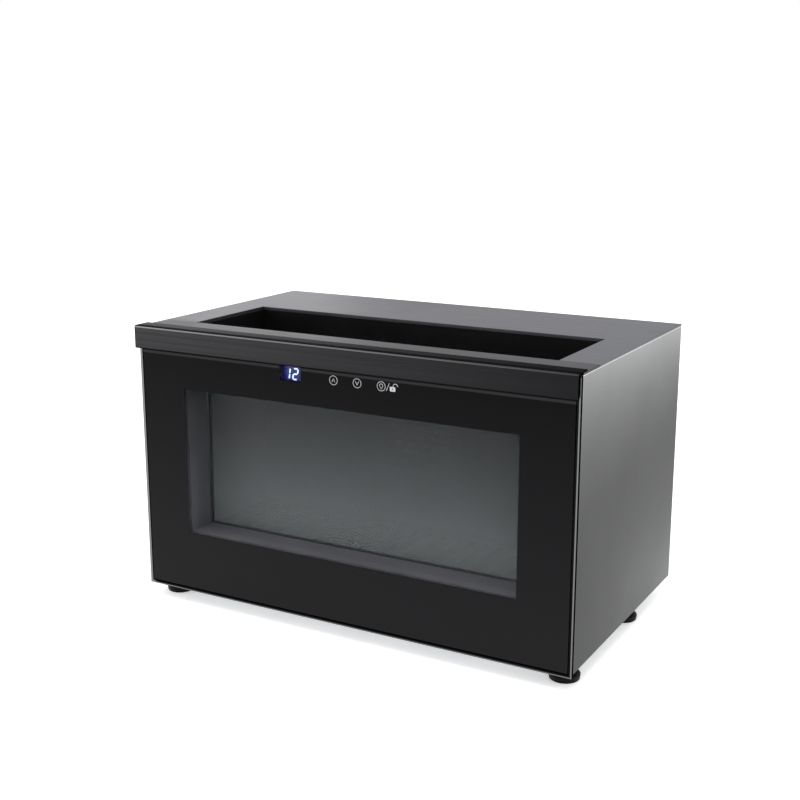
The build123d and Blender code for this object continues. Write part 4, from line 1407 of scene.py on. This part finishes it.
@dataclass
class Fan(SubAssembly):
    """A fan rotor: a cupped hub on a shaft, with curved and twisted blades."""

    node: str
    body: str
    hub_radius: float
    shaft_radius: float = 1.5 * MM
    shaft_length: float = 3.0 * MM
    blades: int = 7
    blade_thick: float = 1.3 * MM
    camber: float = 0.14
    sweep: float = 0.35
    root_pitch: float = 44.0
    tip_pitch: float = 30.0
    margin: float = 0.15 * MM
    round_off: float = 1.6 * MM
    bevel: float = 0.3 * MM
    dish: float = 0.5 * MM
    blade_sink: float = 1.0 * MM

    def hub(self, middle: Vector, low: float, high: float) -> Array:
        """Turn the hub's profile about the fan's axis: a shaft, a cup's floor, its shoulder and its dished face.

        Args:
            middle: a point on the axis.
            low: where the shaft starts, along Y.
            high: where the hub's face lies.

        Returns:
            Rings of points.
        """
        floor, hub = low + self.shaft_length, self.hub_radius
        bend = np.linspace(0.0, math.pi / 2, 6)
        shoulder = [hub - self.round_off * (1 - np.cos(bend)), high - self.round_off * (1 - np.sin(bend))]
        profile = np.concatenate([
            [(0.0, low), (self.shaft_radius, low), (self.shaft_radius, floor)],
            [(hub - self.bevel, floor), (hub, floor + self.bevel)],
            np.stack(shoulder, -1),
            [(hub * 0.72, high), (hub * 0.70, high - self.dish), (0.0, high - self.dish)],
        ])
        upright = turned(profile, Vector((0.0, 0.0, 0.0)), 56)
        return np.stack([upright[..., 0] + middle.x, upright[..., 2], upright[..., 1] + middle.z], -1)

    def blade_rings(self, middle: Vector, low: float, high: float, tip: float) -> Array:
        """All the blades' sections, as an array blades by sections by places by 3.

        Going round a section, its chord runs as half the cosine and its thickness as the sine. The
        chord is bowed by camber times (1 - 4 chord^2), laid over by the pitch, which falls from root to
        tip, and wrapped round the axis; each section is turned back by sweep times its share of the span.

        Args:
            middle: a point on the axis.
            low: lowest place of the blades along Y.
            high: highest place.
            tip: the blades' outer radius.

        Returns:
            The points.
        """
        span = np.linspace(0.0, 1.0, 9)[:, None]
        turn = np.linspace(0.0, 2 * math.pi, 18, endpoint=False)[None, :]
        inner = self.hub_radius - self.blade_sink
        radius = inner + span * (tip - inner)
        pitch = np.radians(self.root_pitch + span * (self.tip_pitch - self.root_pitch))
        depth = (high - low) - 2 * self.margin - self.blade_thick
        chord = depth / np.sin(pitch)
        share = 0.5 * np.cos(turn)
        bow = self.camber * (1 - 4 * share**2) * chord * 0.5 + 0.5 * self.blade_thick * np.sin(turn)
        run = share * chord
        around = run * np.cos(pitch) - bow * np.sin(pitch)
        rise = run * np.sin(pitch) + bow * np.cos(pitch)
        rise = np.clip(rise, -(high - low) / 2 + self.margin, (high - low) / 2 - self.margin)
        start = 2 * math.pi * np.arange(self.blades)[:, None, None] / self.blades
        angle = start + (around / radius + self.sweep * span**1.5)[None]
        across = np.broadcast_to(radius, around.shape)[None]
        x = middle.x + across * np.cos(angle)
        z = middle.z + across * np.sin(angle)
        y = np.broadcast_to((low + high) / 2 + rise[None], x.shape)
        return np.stack([x, y, z], -1)

    def build(self) -> None:
        """Make and dress the rotor."""
        low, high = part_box(self.node)
        middle = (low + high) / 2
        tip = min(high.x - low.x, high.z - low.z) / 2 - self.margin
        shell = Shell()
        shell.grid(self.hub(middle, low.y, high.y), close_columns=True)
        for rings in self.blade_rings(middle, low.y + self.shaft_length, high.y, tip):
            shell.loops(rings)
        rotor = shell.piece(f"{self.body}_blades", self.body, "fan_plastic", 40.0)
        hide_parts(self.node)
        self.paints.dress(rotor, Moulded("fan_plastic", (0.022, 0.022, 0.024), 0.38, 2200.0, 0.01 * MM))


@dataclass
class CoolingSet(SubAssembly):
    """The sinks, the block, the module, the clamp screws and the two fans."""

    inner_hub: float = 12.0 * MM
    outer_hub: float = 17.0 * MM
    extruded: Triple = (900.0, 900.0, 20.0)

    def build(self) -> None:
        """Make the rotors and dress the rest."""
        for body, hub in (("inner_fan", self.inner_hub), ("outer_fan", self.outer_hub)):
            Fan(self.paints, f"{body}_rotor", body, hub).build()
        bright = Metal("sink_aluminium", (0.70, 0.71, 0.73), 0.32, self.extruded, 0.14)
        self.dress(bright, "cold_block", "hot_sink")
        dark = Metal("dark_anodised", (0.045, 0.046, 0.05), 0.4, self.extruded, 0.14)
        self.dress(dark, "cold_sink")
        ceramic = Moulded("ceramic", (0.80, 0.80, 0.77), 0.35, 2600.0, 0.005 * MM, 0.05)
        self.dress(ceramic, "thermoelectric_module")
        self.dress(Metal("zinc_steel", (0.55, 0.56, 0.57), 0.3), "clamp_screws")
        frame_plastic = Moulded("fan_frame_plastic", (0.018, 0.018, 0.019), 0.45, 1800.0, 0.02 * MM)
        self.dress(frame_plastic, "inner_fan_frame", "outer_fan_frame")
        self.dress(Foam("foam"), "foam_sides", "foam_floor", "foam_front", "foam_rear")


@dataclass
class Electrics(SubAssembly):
    """The supply, the inlet, the switch with its marks, and the leads."""

    tilt: float = 10.0
    pivot_depth: float = 3.4 * MM
    face_end: float = 3.6 * MM
    face_valley: float = 2.2 * MM
    face_half: float = 8.4 * MM
    mark_thick: float = 0.08 * MM
    mark_line: float = 0.55 * MM
    bar_half: float = 1.7 * MM
    ring_radius: float = 1.5 * MM

    def face(self, side: float) -> Board:
        """The board on one pressing face of the rocker.

        In the rocker's own upright plane the face runs from the valley, which lies over the pivot, to
        the end; that plane is turned about the pivot by the tilt.

        Args:
            side: 1 for the upper face, -1 for the lower.

        Returns:
            The board, its up direction along the face.
        """
        low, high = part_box("switch_rocker")
        case_low, case_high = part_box("switch_case")
        lean = math.radians(self.tilt)
        pivot = np.array([0.0, case_high.y - self.pivot_depth, (case_low.z + case_high.z) / 2])
        out = np.array([0.0, math.cos(lean), math.sin(lean)])
        up = np.array([0.0, -math.sin(lean), math.cos(lean)])
        valley, end = out * self.face_valley, out * self.face_end + up * side * self.face_half
        along = (end - valley) / np.linalg.norm(end - valley)
        normal = np.cross(along, (1.0, 0.0, 0.0)) * side
        normal = normal if normal @ out > 0 else -normal
        origin = pivot + (valley + end) / 2 + np.array([(low.x + high.x) / 2, 0.0, 0.0])
        return Board(tuple(origin), (-1.0, 0.0, 0.0), tuple(along * side), tuple(normal))

    def build_marks(self) -> None:
        """Mark the rocker: a bar on the upper face for on and a ring on the lower for off."""
        bar = Pen(self.face(1.0), self.mark_thick)
        bar.line((0.0, -self.bar_half), (0.0, self.bar_half), self.mark_line)
        ring = Pen(self.face(-1.0), self.mark_thick)
        ring.ring((0.0, 0.0), self.ring_radius, self.mark_line)
        for name, pen in (("rocker_bar_mark", bar), ("rocker_ring_mark", ring)):
            mark = pen.shell.piece(name, "rocker", "rocker_plastic")
            self.paints.dress(mark, Lit("rocker_ink", (0.80, 0.80, 0.80), (0.8, 0.8, 0.8), 0.0))

    def build(self) -> None:
        """Make the marks and dress the electrics."""
        self.build_marks()
        socket = Moulded("inlet_plastic", (0.012, 0.012, 0.012), 0.34, 1400.0, 0.015 * MM, specular=0.5)
        self.dress(socket, "power_inlet", "switch_case")
        rocker = Moulded("rocker_plastic", (0.014, 0.014, 0.014), 0.22, 2600.0, 0.006 * MM, coat=0.3)
        self.dress(rocker, "switch_rocker")
        self.dress(Metal("nickel_pins", (0.68, 0.65, 0.58), 0.25, (80.0, 900.0, 80.0)), "inlet_pins")
        self.dress(Moulded("supply_plastic", (0.016, 0.016, 0.017), 0.5), "supply_case")
        sheath = Moulded("lead_sheath", (0.014, 0.014, 0.015), 0.48, 2400.0)
        self.dress(sheath, "mains_lead", "display_lead", "fan_lead")


@dataclass
class Foot(SubAssembly):
    """One levelling foot: a rubber pad with a grip and a groove underneath, and a threaded stud with a collar."""

    place: str
    socket_radius: float = 4.05 * MM
    socket_depth: float = 3.6 * MM
    ball_radius: float = 4.0 * MM
    collar_height: float = 3.4 * MM
    collar_lift: float = 0.4 * MM
    root_radius: float = 2.45 * MM
    crest_radius: float = 2.98 * MM
    pitch: float = 1.25 * MM
    steps_per_turn: int = 8
    ball_bevel: float = 0.4 * MM
    collar_bevel: float = 0.35 * MM
    thread_gap: float = 0.5 * MM
    thread_runout: float = 0.9 * MM
    bevel_reach: float = 1.05
    ridge_gain: float = 1.3
    ridge_cut: float = 0.15
    grips: int = 48
    grip_depth: float = 0.18 * MM
    sides: int = 96

    def pad_profile(self, radius: float, height: float) -> Array:
        """The pad's outline from its underside round to its socket, as (radius, height) rows.

        In millimetres, the tread's rows are counted from the axis, and those of the wall and the crown
        from the pad's outer radius. The last two stretch with the pad's height.

        Args:
            radius: the pad's outer radius.
            height: its height.

        Returns:
            The rows.
        """
        tread = [(2.6, 0.0), (2.8, 0.5), (4.2, 0.5), (4.4, 0.0), (6.4, 0.0), (6.6, 0.5), (8.0, 0.5), (8.2, 0.0)]
        wall = [(-1.3, 0.0), (-0.75, 0.12), (-0.4, 0.5), (-0.12, 2.6), (0.0, 3.2), (0.0, 4.0), (-0.12, 4.35)]
        crown = [(-0.5, 4.65), (-1.1, 4.95), (-2.4, 5.75), (-3.0, 6.0), (-3.8, 6.2)]
        rows = [(0.0, 0.0)] + [(r * MM, z * MM) for r, z in tread]
        rows += [(radius + r * MM, z * MM * height / (crown[-1][1] * MM)) for r, z in wall + crown]
        socket, floor = self.socket_radius, height - self.socket_depth
        rows += [(socket + 0.5 * MM, height), (socket, height - 0.3 * MM), (socket, floor), (0.0, floor)]
        return np.array(rows)

    def build_pad(self, centre: Vector, radius: float, height: float) -> None:
        """Turn the pad, its grip cut by shrinking the wall's radius as a cosine round the rim.

        Args:
            centre: a point on the axis on the floor.
            radius: the pad's outer radius.
            height: its height.
        """
        profile = self.pad_profile(radius, height)
        angle = np.linspace(0.0, 2 * math.pi, self.sides * 2, endpoint=False)[None, :]
        walls = ((profile[:, 0] > radius - 0.2 * MM) & (profile[:, 1] > 2.0 * MM))[:, None]
        flutes = walls * self.grip_depth * (0.5 - 0.5 * np.cos(self.grips * angle))
        shell = Shell()
        shell.grid(turned(profile, centre, self.sides * 2, flutes), close_columns=True)
        pad = shell.piece(f"foot_disc_{self.place}", f"foot_{self.place}", "foot_rubber", 30.0)
        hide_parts(f"foot_pad_{self.place}")
        self.paints.dress(pad, Moulded("foot_rubber", (0.003, 0.003, 0.003), 0.36, 1600.0, 0.02 * MM, specular=0.1))

    def build_stud(self, centre: Vector, low: float, high: float, flats: float, pad_height: float) -> None:
        """Turn the stud: a ball end, a six-sided collar and a right-hand thread.

        The collar's radius at an angle is half its flats over the cosine of the angle from the nearest
        flat's middle. The thread's radius is its root plus its depth times a triangle wave of
        height over pitch less the share of a turn.

        Args:
            centre: a point on the axis on the floor.
            low: the stud's lowest height.
            high: its highest.
            flats: the collar's width over its flats.
            pad_height: the pad's top.
        """
        angle = np.linspace(0.0, 2 * math.pi, self.sides // 2, endpoint=False)[None, :]
        sixth = math.pi / 3
        hexagon = flats / 2 / np.cos(np.mod(angle, sixth) - sixth / 2)
        bevelled = np.minimum(hexagon, flats / 2 * self.bevel_reach)
        collar = pad_height + self.collar_lift
        top = collar + self.collar_height
        start, end = top + self.thread_gap, high - self.thread_runout
        rows = [(low, 0.0), (low, self.ball_radius - self.ball_bevel), (low + self.ball_bevel, self.ball_radius)]
        rows += [(collar, self.ball_radius), (collar, bevelled), (collar + self.collar_bevel, hexagon)]
        rows += [(top - self.collar_bevel, hexagon), (top, bevelled), (top, self.root_radius)]
        depth = self.crest_radius - self.root_radius
        for height in np.arange(start, end, self.pitch / self.steps_per_turn):
            phase = np.mod(height / self.pitch - angle / (2 * math.pi), 1.0)
            wave = 1 - np.abs(2 * phase - 1)
            fade = min(1.0, (height - start) / self.pitch, (end - height) / self.pitch)
            ridge = np.clip(wave * self.ridge_gain - self.ridge_cut, 0.0, 1.0)
            rows.append((height, self.root_radius + depth * fade * ridge))
        rows += [(end, self.root_radius), (high, self.root_radius - 0.5 * MM), (high, 0.0)]
        radius = np.concatenate([np.broadcast_to(row[1], angle.shape) for row in rows])
        profile = np.stack([np.zeros(len(rows)), [row[0] for row in rows]], -1)
        shell = Shell()
        shell.grid(turned(profile, centre, angle.shape[1], -radius), close_columns=True)
        stud = shell.piece(f"threaded_stud_{self.place}", f"stud_{self.place}", "stud_steel", 50.0)
        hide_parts(f"foot_stud_{self.place}")
        self.paints.dress(stud, Metal("stud_steel", (0.16, 0.16, 0.165), 0.32, (500.0,) * 3))

    def build(self) -> None:
        """Make and dress the foot."""
        low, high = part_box(f"foot_pad_{self.place}")
        stud_low, stud_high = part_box(f"foot_stud_{self.place}")
        centre = Vector(((low.x + high.x) / 2, (low.y + high.y) / 2, 0.0))
        self.build_pad(centre, (high.x - low.x) / 2, high.z)
        flats = min(stud_high.x - stud_low.x, stud_high.y - stud_low.y)
        self.build_stud(centre, stud_low.z, stud_high.z, flats, high.z)


@dataclass
class Underside(SubAssembly):
    """The four feet, the nuts that they screw into and the casing's screws."""

    places: tuple[str, ...] = ("front_left", "front_right", "rear_left", "rear_right")

    def build(self) -> None:
        """Make the feet and dress the fasteners."""
        for place in self.places:
            Foot(self.paints, place).build()
        zinc = Metal("plated_screws", (0.58, 0.59, 0.60), 0.3, (700.0,) * 3)
        self.dress(zinc, "weld_nuts", "rear_screws", "base_screws")


@dataclass
class Studio(SubAssembly):
    """A pale floor, a white surround, soft lights and the camera."""

    eye: Triple = (0.4825, -0.8762, 0.4063)
    aim: Triple = (-0.0127, 0.0066, 0.1659)
    lens: float = 56.4
    sensor: float = 36.0
    floor_half: float = 30.0
    floor_steps: int = 9
    surround: float = 1.0
    lamps: dict[str, tuple[Triple, Triple, float, float]] = field(
        default_factory=lambda: {
            "back_left_box": ((-1.9, 1.6, 1.0), (0.0, 0.0, 0.2), 1.6, 6.0),
            "overhead_box": ((0.1, -0.2, 2.4), (0.0, 0.0, 0.1), 1.8, 26.0),
            "front_left_box": ((-1.9, -1.2, 0.8), (0.0, 0.0, 0.15), 1.0, 9.0),
        }
    )

    @staticmethod
    def aim_at(thing: bpy.types.Object, place: Triple, target: Triple) -> None:
        """Stand a lamp or the camera at a place and turn it to a target.

        Args:
            thing: the lamp or the camera.
            place: where it stands.
            target: the point that it faces.
        """
        thing.location = place
        thing.rotation_mode = "QUATERNION"
        thing.rotation_quaternion = (Vector(target) - Vector(place)).to_track_quat("-Z", "Y")

    def build_floor(self) -> None:
        """Lay the floor: a flat square grid."""
        step = np.linspace(-self.floor_half, self.floor_half, self.floor_steps)
        x, y = np.meshgrid(step, step, indexing="ij")
        points = np.stack([x, y, np.zeros_like(x)], -1)
        rows, columns = points.shape[:2]
        index = np.arange(rows * columns).reshape(rows, columns)
        faces = np.stack([index[:-1, :-1], index[1:, :-1], index[1:, 1:], index[:-1, 1:]], -1).reshape(-1, 4)
        mesh = bpy.data.meshes.new("studio_floor")
        mesh.from_pydata(points.reshape(-1, 3).tolist(), [], faces.tolist())
        floor = put("studio_floor", mesh)
        self.paints.dress(floor, StudioFloor("studio_floor"))

    def light(self) -> None:
        """Hang the soft boxes, each aimed at the cooler, and whiten the surround."""
        for name, (place, target, size, power) in self.lamps.items():
            data = bpy.data.lights.new(name, "AREA")
            data.shape = "SQUARE"
            data.size = size
            data.energy = power
            self.aim_at(put(name, data), place, target)
        world = bpy.data.worlds.new("surround")
        world.use_nodes = True
        ground = world.node_tree.nodes["Background"]
        ground.inputs["Color"].default_value = (1.0, 1.0, 1.0, 1.0)
        ground.inputs["Strength"].default_value = self.surround
        bpy.context.scene.world = world
        bpy.context.scene.view_settings.view_transform = "Standard"

    def place_camera(self) -> None:
        """Set the camera at its viewing angle."""
        data = bpy.data.cameras.new("camera")
        data.lens = self.lens
        data.sensor_width = self.sensor
        camera = put("camera", data)
        self.aim_at(camera, self.eye, self.aim)
        bpy.context.scene.camera = camera


def main() -> None:
    """Build and dress the cooler, one sub-assembly after another."""
    logging.basicConfig(level=logging.INFO, format="%(name)s: %(message)s")
    paints = Paintbox()
    studio = Studio(paints)
    studio.place_camera()
    studio.build_floor()
    studio.light()
    Casing(paints).build()
    Front(paints).build()
    Display(paints).build()
    Window(paints).build()
    Bay(paints).build()
    CoolingSet(paints).build()
    Electrics(paints).build()
    Underside(paints).build()


if __name__ == "__main__":
    main()
